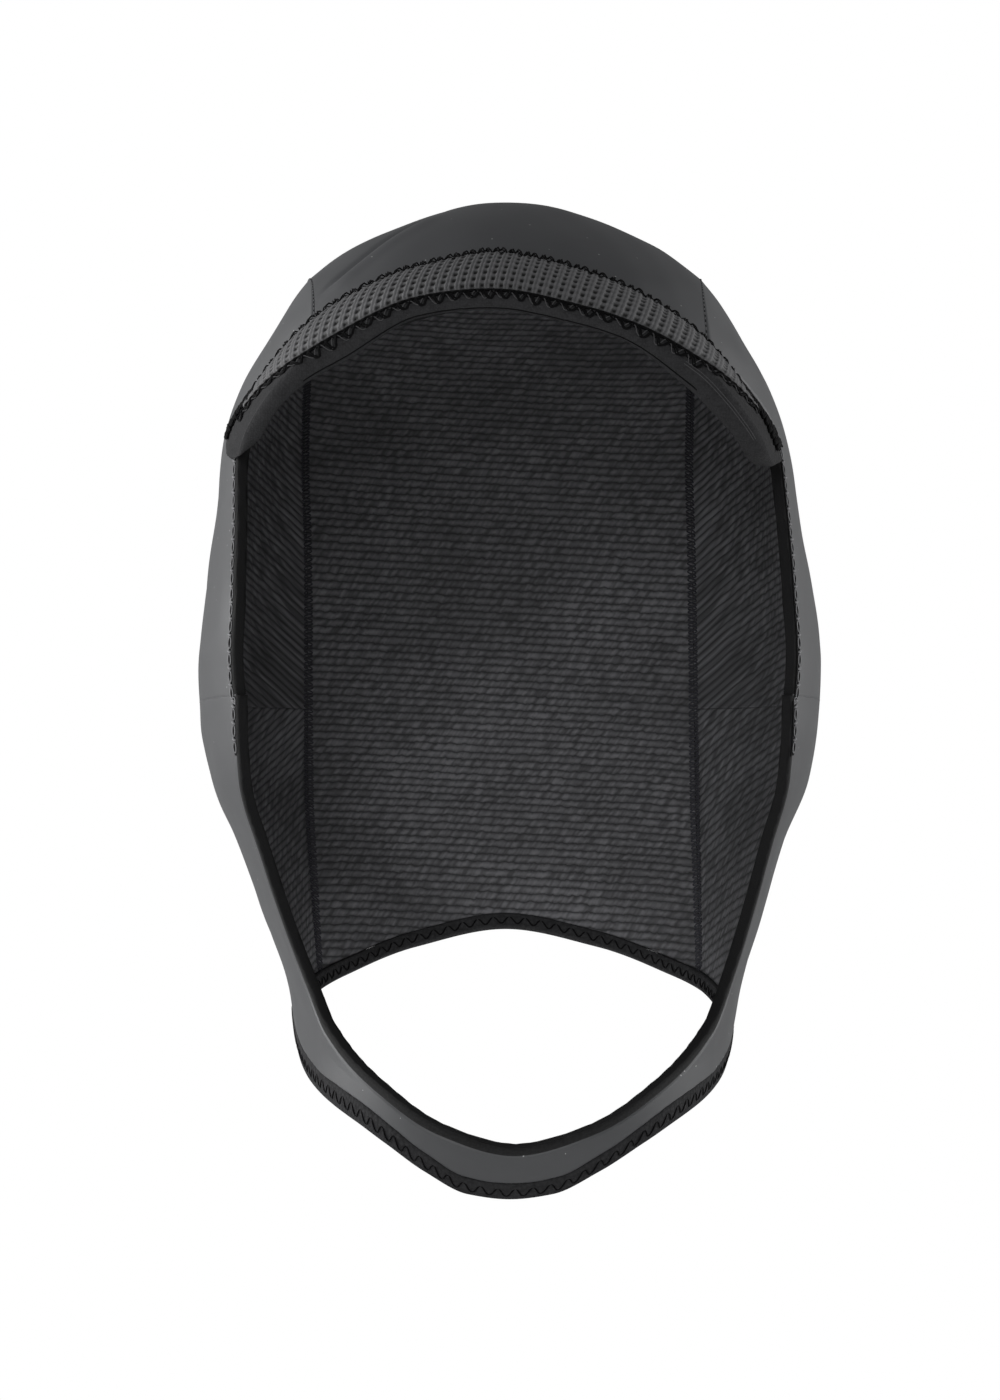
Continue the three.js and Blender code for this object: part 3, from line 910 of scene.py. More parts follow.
STRAP_CHIN_STEPS = 96  # steps of the strap from the chin to its corner at the end of the jaw seam


def seam_ends(sizes):
    """Fan angles where the crown seam starts, crosses the jaw seam and ends"""
    foot = sizes.hem_width / MM
    start = fan_where(1.0, 90, 20, lambda p: p[..., 2] < forehead_at(np.abs(p[..., 0])))
    jaw = fan_where(1.0, 150, 215, lambda p: p[..., 2] < CHIN_EDGE[-1][2] - JAW_SEAM_DROP)
    end = fan_where(1.0, 150, 268, lambda p: p[..., 2] < hem_top(turn_of(p), foot, SEAM_CLEAR))
    return float(start), float(jaw), float(end)


def finer(shares, close):
    """Steps with their middle part replaced by closer ones"""
    return np.concatenate([shares[shares < close[0] - 0.001], close, shares[shares > close[-1] + 0.001]])


def crown_grid(sizes):
    foot = sizes.hem_width / MM
    reach = 1 - SEAM_CLEAR / 2 / seam_x(0)
    across = finer(steps(80, 2 * seam_x(0), EDGE_STEPS), np.linspace(0.03, 0.3, 50))
    shares = mix(-reach, reach, across)
    start = fan_where(shares, 90, 20, lambda p: p[..., 2] < forehead_at(np.abs(p[..., 0])))
    end = fan_where(shares, 150, 268, lambda p: p[..., 2] < hem_top(turn_of(p), foot, SEAM_CLEAR))
    along = finer(steps(250, 340, EDGE_STEPS), np.linspace(0.02, 0.14, 84))
    fans = mix(start[None, :], end[None, :], along[:, None])
    return crown_point(np.broadcast_to(shares[None, :], fans.shape), fans), fans


def side_grid(sizes):
    seam_start, seam_jaw, _ = seam_ends(sizes)
    front = dict(zip(CHIN_COLUMNS, CHIN_EDGE[-1]))
    corner = around(front["turn"], front["z"] + SEAM_CLEAR)
    back = crown_point(1.0, np.array(seam_jaw))
    start = crown_point(1.0, np.array(seam_start))
    s = steps(110, 150, EDGE_STEPS)[:, None]
    w = steps(84, 100, EDGE_STEPS)[None, :]
    top = crown_point(1.0, mix(seam_start, seam_jaw, s[:, 0]))[:, None, :]
    foot_y = mix(corner[1], back[1], 1 - (1 - s) ** 0.9)
    foot_z = mix(corner[2], back[2] + SEAM_CLEAR, s)
    z = mix(foot_z, top[..., 2], w)
    bow = temple_at(mix(corner[2], start[2], w))
    straight = mix(corner[1], start[1], w)
    y = mix(foot_y, top[..., 1], w) + (bow - straight) * (1 - s) ** 4
    grid = beside(y, z)
    grid[:, -1] = top[:, 0]
    grid[:, -1, 0] += SEAM_CLEAR / 2
    return grid


def strap_grid(sizes):
    """Lines from the neck binding up to the strap's upper edge, from the right seam to the left one"""
    _, seam_jaw, seam_end = seam_ends(sizes)
    corner = dict(zip(CHIN_COLUMNS, CHIN_EDGE[-1]))
    seam_top = crown_point(1.0, np.array(seam_jaw))
    seam_foot = crown_point(1.0, np.array(seam_end))
    chin = steps(STRAP_CHIN_STEPS) * (len(CHIN_EDGE) - 1)
    s = steps(62, 110, EDGE_STEPS)[1:]
    turn = np.concatenate([chin_turn(chin), mix(corner["turn"], turn_of(seam_top), s)])
    z = np.concatenate([chin_z(chin), mix(corner["z"], seam_top[2], s)])
    rim = np.concatenate([chin_rim(chin), mix(corner["rim"], turn_of(seam_foot), s)])
    foot = hem_top(rim, sizes.hem_width / MM, SEAM_CLEAR)
    w = steps(50, 60, EDGE_STEPS)
    half = around(mix(rim[:, None], turn[:, None], w), mix(foot[:, None], z[:, None], w))
    half[-1] = crown_point(1.0, mix(seam_end, seam_jaw, w))
    half[-1, :, 0] += SEAM_CLEAR / 2
    return np.concatenate([on_side(half[:0:-1], -1), half])


# The crease that the crown keeps from folding: an arc seen from the front, in x and z
CREASE_X = 21.8
CREASE_Z = -81.0
CREASE_RADIUS = 90.0


def crown_crease(grid):
    x, y, z = grid[..., 0], grid[..., 1], grid[..., 2]
    off = np.hypot(x - CREASE_X, z - CREASE_Z) - CREASE_RADIUS
    there = smooth_step(-x, 14, 22) * smooth_step(z, -24, -17) * (y < MIDDLE_Y)
    return there * (0.5 * np.exp(-((off + 1.5) / 1.3) ** 2) - 0.8 * np.exp(-(off / 0.55) ** 2))


def crown_cloth(grid, fans):
    """Places on the lining: across, and along it so that the knit's rows are level at the back"""
    middle = grid.shape[1] // 2
    along = run_lengths(grid[:, middle], 0)
    by_fan = np.interp(fans, fans[:, middle], along)
    top = int(np.argmax(grid[:, middle, 2]))
    by_height = np.interp(-grid[..., 2], -grid[top:, middle, 2], along[top:])
    by_height = by_height + np.maximum(0, grid[-1, middle, 2] - grid[..., 2])
    level_share = smooth_step(fans, 95, 125)
    return np.stack([grid[..., 0], mix(by_fan, by_height, level_share)], axis=-1)


def build_crown(sizes):
    grid, fans = crown_grid(sizes)
    panel("crown", grid, crown_cloth(grid, fans), "crown_knit", "crown_panel", sizes,
          [grid[0]], [grid[:, 0], grid[:, -1], grid[-1]], crown_crease)


SIDE_SLANT = 0.85  # slope of the knit's rows in the side and jaw panels, as seen from the front


def build_sides(sizes):
    grid = side_grid(sizes)
    cloth = np.stack([grid[..., 1] + grid[..., 0], grid[..., 2] - SIDE_SLANT * grid[..., 0]], axis=-1)
    for name, sign in (("left", 1), ("right", -1)):
        placed = on_side(grid, sign)
        panel("side_" + name, placed, cloth, name + "_knit", "side_panel_" + name, sizes,
              [placed[0]], [placed[:, 0], placed[:, -1], placed[-1]])


def build_strap(sizes):
    grid = strap_grid(sizes)
    across = np.mean(run_lengths(grid, 0), axis=1)
    rows = grid[..., 2] - SIDE_SLANT * grid[..., 0]
    cloth = np.stack([np.broadcast_to(across[:, None], grid.shape[:2]), rows], axis=-1)
    top = grid[:, -1]
    first = len(grid) // 2 - STRAP_CHIN_STEPS
    last = len(grid) // 2 + STRAP_CHIN_STEPS
    panel("jaw_and_chin_strap", grid, cloth, "jaw_knit", "chin_strap", sizes,
          [top[first:last + 1]], [top[:first + 1], top[last:], grid[:, 0], grid[0], grid[-1]])


HEM_SWELL = 0.45  # how far each face of the neck binding stands out from the wall
HEM_TAPER = 0.12  # how much thinner it is at both edges than in its middle
HEM_ROLL = 0.6  # depth of its rounded foot, as a share of half its thickness


def build_hem(sizes):
    """The binding: a knit tape folded over the rim, fuller than the wall on both faces"""
    wall = sizes.wall / MM
    half = wall / 2 + HEM_SWELL
    turns = np.linspace(0, 360, 480, endpoint=False)
    far = np.minimum(turns, 360 - turns)
    low = around(turns, rim_at(far))
    high = around(turns, hem_top(far, sizes.hem_width / MM))
    normal = outward(mix(low, high, 0.5))
    up = unit(high - low)
    # the tape's section: height, side from 1 outside to -1 inside, and depth below the foot
    shares = np.linspace(0, 1, 9)
    taper = HEM_TAPER * (2 * shares - 1) ** 2
    section_points = [(1 - share, 1 - less, 0) for share, less in zip(shares, taper)]
    section_points += [(0, math.cos(angle), math.sin(angle)) for angle in math.pi * shares[1:-1]]
    section_points += [(share, less - 1, 0) for share, less in zip(shares, taper)]
    foot = low - normal * wall / 2 + up * half * HEM_ROLL
    top = high - normal * wall / 2
    lines = []
    for height, side, below in section_points:
        lines.append(mix(foot, top, height) + normal * half * side - up * half * HEM_ROLL * below)
    grid = np.stack(lines, axis=1)
    order = np.arange(len(turns) * len(lines)).reshape(len(turns), len(lines))
    faces = ring_faces([*order, order[0]])[:, ::-1]
    new_piece("neck_binding", grid.reshape(-1, 3), faces, [look_for("hem")], ("neck_hem",))


# The peak

LIP_ROLL = 1.7  # how far the rolled lip stands out in front of the bill
LIP_THINNEST = 0.35  # share of its thickness that the lip keeps at the ends
BILL_ARCH = 4.8  # how much the bill arches from back to front

# Rows of the underside: share of the way to the front edge, with depth as a share of the lip's
# or, further back, in millimetres
UNDER_LIP = ((0.97, 1), (0.9, 0.97), (0.85, 0.92))
UNDER_BILL = ((0.78, 3.4), (0.6, 3.1), (0.4, 3.0), (0.2, 2.2), (0.04, BILL_ROOT))

# The bill at some shares of its length: back edge, run to the front edge, direction of the thickness,
# rounding of its ends, fullness of the lip, clearance from the head and distance from the middle
BillFrames = namedtuple("BillFrames", "back run up rounding lip clear away")


def bill_place(share):
    turn = share * BILL_END
    return around(turn + skew_turn(share), bill_z(np.abs(turn)) + skew_raise(share))


def bill_frames(s):
    """The bill's frames at shares from -1 at the wearer's right end to 1 at the left end"""
    s = np.asarray(s, float)
    away = np.abs(s)
    far = away * BILL_END
    rounding = np.sqrt(np.maximum(0.06, 1 - np.maximum(0, (away - 0.9) / 0.1) ** 2))
    drop = bill_drop(far) + skew_drop(s)
    run = points(np.sign(s) * bill_spread(far), -bill_reach(far), -drop) * rounding[..., None]
    along = bill_place(np.minimum(1, s + 0.02)) - bill_place(np.maximum(-1, s - 0.02))
    up = unit(np.cross(run, along))
    back = bill_place(s)
    normal = outward(back)
    up = np.where(np.sum(up * normal, axis=-1, keepdims=True) < 0, -up, up)
    clear = mix(BILL_CLEAR, BILL_END_CLEAR, smooth_step(away, 0.55, 0.8))
    back = back + normal * (clear + 0.2)[..., None] + run * (0.6 * (1 - rounding) / rounding)[..., None]
    return BillFrames(back, run, up, rounding, skew_lip(s), clear, away)


def touches_head(p, frames):
    return level(p - outward(p) * frames.clear[..., None]) < 0


def bill_top(frames, q):
    """Points of the bill's top, q of the way from its back edge to its front edge"""
    q = np.broadcast_to(q, frames.away.shape)[..., None]
    p = frames.back + frames.run * q + frames.up * BILL_ARCH * q * (1 - q)
    for _ in range(60):
        low = touches_head(p - frames.up * BILL_THINNEST, frames)
        if not low.any():
            break
        p = p + frames.up * 0.1 * low[..., None]
    return p


def clear_depth(p, frames, wanted):
    """How thick the bill can be at a point of its top before its underside meets the head"""
    wanted = np.broadcast_to(wanted, p.shape[:-1])
    depth = np.full(p.shape[:-1], float(BILL_THINNEST))
    growing = depth < wanted
    for _ in range(80):
        below = p - frames.up * (depth + 0.1)[..., None]
        growing = growing & (depth < wanted) & ~touches_head(below, frames)
        if not growing.any():
            break
        depth = depth + 0.1 * growing
    return depth


def lip_fullness(frames, thickness):
    return (thickness + frames.lip) * np.maximum(LIP_THINNEST, frames.rounding)


def lip_point(frames, thickness, angle, lift=0.0):
    """Points on the rolled front of the bill and the normals there: an angle of 0 degrees is its top
    and 180 its underside"""
    angle = np.radians(np.broadcast_to(angle, frames.away.shape))[..., None]
    lift = np.broadcast_to(lift, frames.away.shape)[..., None]
    front = bill_top(frames, 1.0)
    nose = unit(frames.run)
    depth = clear_depth(front + nose * 1.2, frames, lip_fullness(frames, thickness))[..., None]
    p = front - frames.up * depth / 2
    p = p + frames.up * np.cos(angle) * (depth / 2 + lift) + nose * np.sin(angle) * (LIP_ROLL + lift)
    return p, unit(frames.up * np.cos(angle) + nose * np.sin(angle))


def build_bill(sizes):
    thickness = sizes.bill_thickness / MM
    frames = bill_frames(mix(-1, 1, steps(260)))
    full = lip_fullness(frames, thickness)
    top = [bill_top(frames, q) for q in np.linspace(0, 1, 11)]
    nose = [lip_point(frames, thickness, angle)[0] for angle in np.linspace(0, 180, 13)[1:-1]]
    under = []
    for q, wanted in [(q, share * full) for q, share in UNDER_LIP] + list(UNDER_BILL):
        p = bill_top(frames, q)
        p = p - frames.up * clear_depth(p, frames, wanted)[..., None]
        # the sewn root lies on the skin
        seated = (frames.clear - BILL_SEAT) * (1 - smooth_step(q, 0.2, 0.4))
        under.append(p - outward(p) * seated[..., None])
    grid = np.stack(top + nose + under, axis=1)
    order = np.arange(grid.shape[0] * grid.shape[1]).reshape(grid.shape[:2])
    faces = ring_faces(order).tolist() + [order[0, ::-1].tolist(), order[-1].tolist()]
    piece = new_piece("bill", grid.reshape(-1, 3), faces, [look_for("lip")], ("peak_bill",))


# Where a rib and a rung of the webbing are sampled, as shares of their pitches
RIB_SAMPLES = (0.0, 0.07, 0.15, 0.26, 0.36, 0.46, 0.56, 0.66, 0.72, 0.8, 0.9)
RUNG_SAMPLES = (0.0, 0.1, 0.22, 0.34, 0.46, 0.54, 0.64, 0.84, 0.94)
RUNGS = 7
RIB_LEAN = 3.8  # how far a rib leans along the bill over its width at the middle, in millimetres
RIB_LEAN_GAIN = 2.0  # and how much more it leans at the wearer's left end
BAND_FROM = 0.015
BAND_TO = 0.985
BAND_END = 0.82  # share of the bill's length where the webbing ends
BAND_NARROW = 0.42  # share of its width that the webbing loses towards an end


def build_band(sizes):
    """Ribbed webbing: flat ribs with a ladder of small holes between them"""
    middle = bill_top(bill_frames(np.linspace(-BAND_END, BAND_END, 200)), 0.5)
    length = run_lengths(middle, 0)[-1]
    ribs = int(length / (sizes.rib_pitch / MM))
    a = (np.arange(ribs)[:, None] + np.array(RIB_SAMPLES)[None, :]).ravel()
    a = np.append(a, ribs)
    b = (np.arange(RUNGS)[:, None] + np.array(RUNG_SAMPLES)[None, :]).ravel()
    b = np.append(b, RUNGS)
    along, across = np.meshgrid(a, b, indexing="ij")
    s = mix(-BAND_END, BAND_END, along / ribs)
    narrow = BAND_NARROW * smooth_step(np.abs(s), 0.55, BAND_END)
    q = mix(BAND_FROM, BAND_TO - narrow, across / RUNGS)
    lean = (RIB_LEAN + RIB_LEAN_GAIN * s) * (0.5 - q) / (length / 2)
    s = np.clip(s + lean * (1 - (s / BAND_END) ** 4), -BAND_END, BAND_END)
    frames = bill_frames(s)
    place = bill_top(frames, q)
    in_rib = along % 1
    in_rung = across % 1
    rib = smooth_step(in_rib, 0.0, 0.12) * (1 - smooth_step(in_rib, 0.6, 0.72))
    rung = smooth_step(in_rung, 0.0, 0.12) * (1 - smooth_step(in_rung, 0.46, 0.6))
    # two yarns lie side by side in a rib, bound down a little between the rungs
    yarns = 0.3 * np.exp(-((in_rib - 0.35) / 0.09) ** 2) + 0.12 * (1 - rung)
    border = np.minimum(across, RUNGS - across) < 0.16
    raised = np.clip(rib * (1 - yarns) + 0.8 * rung * (1 - rib), 0, 1)
    raised = np.where(border, np.maximum(raised, 0.5), raised)
    full = 1 - 0.65 * smooth_step(np.abs(s), 0.6, BAND_END)
    height = LAYER_GAP + 0.15 + (0.55 * raised + 0.1 * rib) * full
    skirt = (across == 0) | (across == RUNGS) | (along == 0) | (along == ribs)
    height = np.where(skirt, 0.05, height)
    grid = place + frames.up * height[..., None]
    faces = grid_faces(*grid.shape[:2])
    # raised also sets the webbing's tone, as painted shade where the yarn is low
    new_piece("ribbed_webbing", grid.reshape(-1, 3), faces, [look_for("webbing")],
              ("peak_band",), marks={"raised": raised.ravel()})


# Seams and stitches

CROWN_STITCH = 2.6  # length of a blind stitch on the crown seams, in millimetres
ZIGZAG_SAMPLES = 12  # points along one stitch of a zigzag
FRONT_REACH = 0.17  # share of the bill's width that the front stitches cover on the webbing
LIP_WRAP = 105  # and how many degrees round the lip they can reach

# Rows of stitches on the bill: phase, middle, swing and radius of the thread
BACK_ROWS = ((0.0, 0.0, 0.09, 0.2), (0.13, 0.01, 0.075, 0.16), (0.5, 0.03, 0.06, 0.16))
FRONT_ROWS = ((0.0, 0.34, 0.3, 0.26), (0.09, 0.4, 0.26, 0.2), (0.56, 0.24, 0.14, 0.2))
# a lighter strand of the front zigzag: painted highlight arcs on its loops
FRONT_HIGHLIGHT_ROW = (0.3, 0.36, 0.28, 0.13)
END_ROWS = ((0.0, 0.3, 0.3, 0.32), (0.37, 0.27, 0.24, 0.32), (0.7, 0.36, 0.26, 0.32))

# Overlock at the ends of the bill: where it starts and stops, length of a stitch and spread at the end
END_OVERLOCKS = ((-0.95, -0.76, 2.4, 0.6), (0.72, 0.96, 2, 1.1))

# Lines on the lip, two of worn stitching at the wearer's left end and one a painted highlight along the
# lip's top corner at the wearer's right end: where they start and stop, and their degrees round the lip
LIP_LINES = ((0.55, 0.86, 60), (0.55, 0.86, 72), (-0.95, -0.7, 16))


def zigzag(count, phase=0.0):
    """Shares along a row of stitches, and where the thread stands across it from -1 to 1"""
    t = np.linspace(0, count, count * ZIGZAG_SAMPLES + 1)
    saw = 1 - 4 * np.abs(((t + phase + 0.25) % 1) - 0.5)
    return t / count, np.sin(np.clip(saw * 1.15, -1, 1) * math.pi / 2)


def on_bill(frames, q, lift):
    """Points over the top of the bill, also a little in front of it or behind it"""
    held = np.clip(q, 0, 1)
    return bill_top(frames, held) + frames.run * (q - held)[..., None] + frames.up * lift[..., None]


def bill_stitch_run(s_from, s_to, pitch, phase=0.0):
    """Frames of the bill along a row of stitches, the swing of the thread and the points' numbers"""
    guide = bill_top(bill_frames(np.linspace(s_from, s_to, 120)), 0.5)
    count = max(2, int(run_lengths(guide, 0)[-1] / pitch))
    share, swing = zigzag(count, phase)
    return bill_frames(mix(s_from, s_to, share)), swing, np.arange(len(swing))


def back_stitches(pitch):
    """Loose loops over the back edge of the webbing, a little uneven"""
    runs = []
    for phase, middle, reach, radius in BACK_ROWS:
        frames, swing, k = bill_stitch_run(-0.95, 0.95, pitch, phase)
        q = middle + reach * swing * (0.8 + 0.2 * np.sin(k * 0.37)) + 0.008 * np.sin(k * 0.11)
        low = 1 - 0.55 * smooth_step(frames.away, 0.6, 0.85)
        lift = (0.95 + 0.5 * (1 - swing ** 2) - 0.7 * (swing < -0.6)) * low
        runs.append((on_bill(frames, np.maximum(q, -0.1 * low), lift), frames.up, radius))
    return runs


def over_front(frames, thickness, reach, lift):
    """Points over the bill's front and the normals there. A reach of -1 lies on the webbing, 0 at the
    front edge and 1 as far round the lip as the stitches can go."""
    on_webbing = 0.9 * smooth_step(-reach, 0, 0.4)
    reach = reach - BAND_NARROW * smooth_step(frames.away, 0.55, BAND_END) / FRONT_REACH
    on_top = on_bill(frames, 1 + FRONT_REACH * np.minimum(reach, 0), lift + on_webbing)
    on_lip, normal = lip_point(frames, thickness, LIP_WRAP * np.maximum(reach, 0), lift)
    return np.where((reach < 0)[:, None], on_top, on_lip), normal


def front_row(pitch, thickness, row):
    """One strand of the zigzag from the webbing's front edge down to the lip"""
    phase, middle, width, radius = row
    frames, swing, k = bill_stitch_run(-0.86, 0.82, pitch, phase)
    reach = middle + width * swing * (0.85 + 0.15 * np.sin(k * 0.17)) + 0.05 * np.sin(k * 0.61)
    return (*over_front(frames, thickness, reach, 0.2 + 0.25 * (1 - swing ** 2)), radius)


def front_cord(pitch, thickness):
    """The cord along the webbing's front edge"""
    frames, swing, _ = bill_stitch_run(-0.86, 0.82, pitch / 2)
    return (*over_front(frames, thickness, 0.1 + 0.06 * swing, 0.55 + 0.15 * swing), 0.3)


def end_overlock(s_from, s_to, pitch, spread):
    """Close overlock stitches where the webbing narrows to an end of the peak"""
    runs = []
    for phase, middle, reach, radius in END_ROWS:
        frames, swing, k = bill_stitch_run(s_from, s_to, pitch, phase)
        wide = mix(0.7, spread, smooth_step(frames.away, 0.75, 0.92))
        lift = 0.4 + 0.3 * (1 - swing ** 2) + 0.15 * np.sin(k * 1.3)
        runs.append((on_bill(frames, (middle + reach * swing) * wide + 0.03, lift), frames.up, radius))
    return runs


def lip_line(thickness, s_from, s_to, count, angle, lift, radius):
    """A thread laid along the lip"""
    frames = bill_frames(np.linspace(s_from, s_to, count))
    return lip_point(frames, thickness, angle, lift)[0], unit(frames.run), radius


def build_bill_stitches(sizes):
    thickness = sizes.bill_thickness / MM
    pitch = sizes.bill_stitch / MM
    dark = [front_row(pitch, thickness, row) for row in FRONT_ROWS]
    dark.append(front_cord(pitch, thickness))
    dark += back_stitches(pitch)
    for row in END_OVERLOCKS:
        dark += end_overlock(*row)
    # a thin dark thread along the lip's lower fold, as painted shade in that crease
    dark.append(lip_line(thickness, -0.62, 0.62, 200, 128, 0.02, 0.17))
    threads("bill_stitches", dark, "thread")
    # the lighter strand and the line at 16 degrees are painted highlights; the other two lip lines are worn
    # stitching
    worn = [front_row(pitch, thickness, FRONT_HIGHLIGHT_ROW)]
    worn += [lip_line(thickness, s_from, s_to, 100, angle, -0.03, 0.1) for s_from, s_to, angle in LIP_LINES]
    threads("lip_stitches_and_highlights", worn, "worn_and_highlight_thread")


def face_edge(sizes):
    """The open edge of the left side panel and of the strap below it, from the bill downwards"""
    temple = side_grid(sizes)[0, ::-1]
    rows = np.linspace(len(CHIN_EDGE) - 1, len(CHIN_EDGE) - 3, 60)
    jaw = around(chin_turn(rows), chin_z(rows))
    return np.concatenate([temple, jaw[1:]])


def inset_line(line, distance, z_from, z_to):
    """A line at a distance behind an edge on the skin, between two heights"""
    ahead = unit(np.gradient(line, axis=0))
    inward = unit(np.cross(ahead, outward(line)))
    inward = inward * np.sign(inward[:, 1])[:, None]
    p = ridged(line + inward * distance)
    return p[(p[:, 2] < z_from) & (p[:, 2] > z_to)]


def build_edge_stitches(sizes):
    """A chain of sunk stitches beside the face edge: wide dark threads that also paint the shade in their
    pits, each with two pale outlines that are painted highlights on the pits' rims, and a pale bead of
    thread between each two"""
    edge = face_edge(sizes)
    swell = np.sin(np.linspace(0, math.pi, 9)) ** 0.5
    rim = (0.2 + 0.62 * swell)[:, None]
    t = np.linspace(-1, 1, 7)[:, None]
    dark = []
    pale = []
    for sign in (-1, 1):
        line = inset_line(on_side(edge, sign), FACE_STITCHES, -60, -139)
        path, count = evenly(line, sizes.edge_stitch / MM, 12)
        normal = outward(path)
        ahead = unit(np.gradient(path, axis=0))
        across = unit(np.cross(ahead, normal)) * sign
        for k in range(count):
            i = k * 12
            here = np.arange(i + 2, i + 11)
            dark.append((path[here] - normal[here] * 0.05, normal[here], 0.2 + 0.65 * swell, 0.5))
            # the two pale outlines are painted highlights on the rims of each sunk stitch
            for side in (-1, 1):
                aside = across[here] * (rim * side + 0.12 * math.sin(k * 1.7))
                pale.append((path[here] + aside + normal[here] * 0.18, normal[here], 0.13))
            bead = path[i] + across[i] * 0.55 * t + ahead[i] * 0.3 * t + normal[i] * 0.4 * (1 - t ** 2)
            pale.append((bead, np.repeat(normal[i][None], 7, axis=0), 0.3))
        dark.append((path - normal * 0.1, normal, 0.6, 0.4))
        if sign > 0:
            # a second row shows on the wearer's left
            dark.append((path + across * 1.5 - normal * 0.05, normal, 0.3, 0.6))
    threads("face_edge_stitches", dark, "thread")
    threads("face_edge_loops_and_highlights", pale, "pale_thread")


def build_hem_stitches(sizes):
    """A zigzag round the binding, on both faces"""
    width = sizes.hem_width / MM
    wall = sizes.wall / MM
    turns = np.linspace(0, 360, 1441)
    length = run_lengths(around(turns, hem_top(np.minimum(turns, 360 - turns), width * 0.5)), 0)
    share, swing = zigzag(int(length[-1] / (sizes.edge_stitch / MM)))
    turn = np.interp(share, length / length[-1], turns)
    p = around(turn, hem_top(np.minimum(turn, 360 - turn), width * (0.52 + 0.2 * swing)))
    normal = outward(p)
    runs = []
    for face, depth in ((1, 0.52), (-1, -wall - 0.52)):
        sunk = depth - face * 0.3 * np.abs(swing) ** 4
        runs.append((p + normal * sunk[:, None], normal * face, 0.2))
    threads("hem_stitches", runs, "thread")


def crown_seam(sizes, count=420):
    """The seam between the crown and the wearer's left panels, from the forehead to the neck"""
    start, _, end = seam_ends(sizes)
    return ridged(crown_point(1.0, np.linspace(start, end, count)))


def build_seam_glue(sizes):
    """The glue that fills each outer seam nearly flush with the skin"""
    runs = []
    for path, lift in ((crown_seam(sizes), -0.22), (ridged(side_grid(sizes)[:, 0]), -0.3)):
        for sign in (-1, 1):
            p, _ = evenly(on_side(path, sign), 1.1, 2)
            bead = 0.34 + 0.04 * np.cos(np.arange(len(p)) * math.pi)
            runs.append((p + outward(p) * lift, outward(p), bead))
    threads("seam_glue", runs, "glue")


def build_crown_stitches(sizes):
    """Fine blind stitches along the crown seams"""
    seam = crown_seam(sizes)
    bow = (0.16 * np.sin(np.linspace(0, math.pi, 6)) - 0.06)[:, None]
    runs = []
    for sign in (-1, 1):
        p, count = evenly(on_side(seam, sign), CROWN_STITCH, 8)
        normal = outward(p)
        for k in range(count):
            here = np.arange(k * 8, k * 8 + 6)
            runs.append((p[here] + normal[here] * bow, normal[here], 0.13))
    threads("crown_stitches", runs, "thread")


def build_lining_seams(sizes):
    """Two covering threads that swing over each crown seam inside, dark enough to paint the shade in the
    seam's valley as well
    """
    wall = sizes.wall / MM
    seam = crown_seam(sizes, 700)
    runs = []
    for sign in (-1, 1):
        p, _ = evenly(on_side(seam, sign), 2.2, 12)
        normal = outward(p)
        inner = p - normal * (wall + 0.1)
        across = unit(np.cross(unit(np.gradient(inner, axis=0)), normal))
        saw = 1 - 4 * np.abs(((np.arange(len(p)) / 12 + 0.25) % 1) - 0.5)
        swing = 1.5 * np.sin(saw * math.pi / 2)[:, None]
        runs.append((inner + across * swing, -normal, 0.22))
        runs.append((inner + across * np.roll(swing, 5, axis=0) - normal * 0.1, -normal, 0.2))
    threads("lining_seams", runs, "seam_thread")


# Stage, in metres

CAMERA_DISTANCE = 2.0
CAMERA_AZIMUTH = -1.5
AIM = (-0.0013, 0.0, -0.125)
FRAME_HEIGHT = 0.36  # from the top of the picture to its bottom, at the hood
SENSOR = 36.0  # in millimetres, as Blender has it
FLOOR_Z = -0.6
FLOOR_HALF = 2.5

# Softboxes: place, size and watts
SOFTBOXES = {
    "left_softbox": ((-1.4, 0.35, 0.35), (1.0, 1.4), 26),
    "right_softbox": ((1.45, 0.4, 0.25), (1.0, 1.4), 15),
    "front_softbox": ((-0.4, -2.2, 0.6), (1.2, 1.2), 22),
}


def add_object(name, data):
    made = bpy.data.objects.new(name, data)
    bpy.context.scene.collection.objects.link(made)
    return made


def build_floor(colour):
    corners = [(FLOOR_HALF * x, FLOOR_HALF * y, FLOOR_Z) for x, y in ((-1, -1), (1, -1), (1, 1), (-1, 1))]
    mesh = bpy.data.meshes.new("floor")
    mesh.from_pydata(corners, [], [(0, 1, 2, 3)])
    look, tree, shader = new_look("painted_studio_floor")
    grain = add(tree, "ShaderNodeTexNoise", {"Scale": 3.0}).outputs["Fac"]
    fill(tree, shader, {
        "Base Color": blend(tree, grain, rgba(colour, 0.99), rgba(colour)),
        "Roughness": 0.7,
    })
    mesh.materials.append(look)
    add_object("floor", mesh)


def build_room():
    """White paper behind the hood, as the camera sees it, and a dim room that lights it"""
    world = bpy.data.worlds.new("studio")
    world.use_nodes = True
    tree = world.node_tree
    tree.nodes.clear()
    direction = add(tree, "ShaderNodeTexCoord").outputs["Generated"]
    height = add(tree, "ShaderNodeSeparateXYZ", {0: direction}).outputs[2]
    room = span(tree, height, -0.2, 0.7, 0.36, 0.06)
    seen = add(tree, "ShaderNodeLightPath").outputs["Is Camera Ray"]
    strength = add(tree, "ShaderNodeMix", {"Factor": seen, "A": room, "B": 1.0}).outputs[0]
    paper = add(tree, "ShaderNodeBackground", {"Color": (1.0, 1.0, 1.0, 1.0), "Strength": strength})
    add(tree, "ShaderNodeOutputWorld", {"Surface": paper.outputs[0]})
    bpy.context.scene.world = world


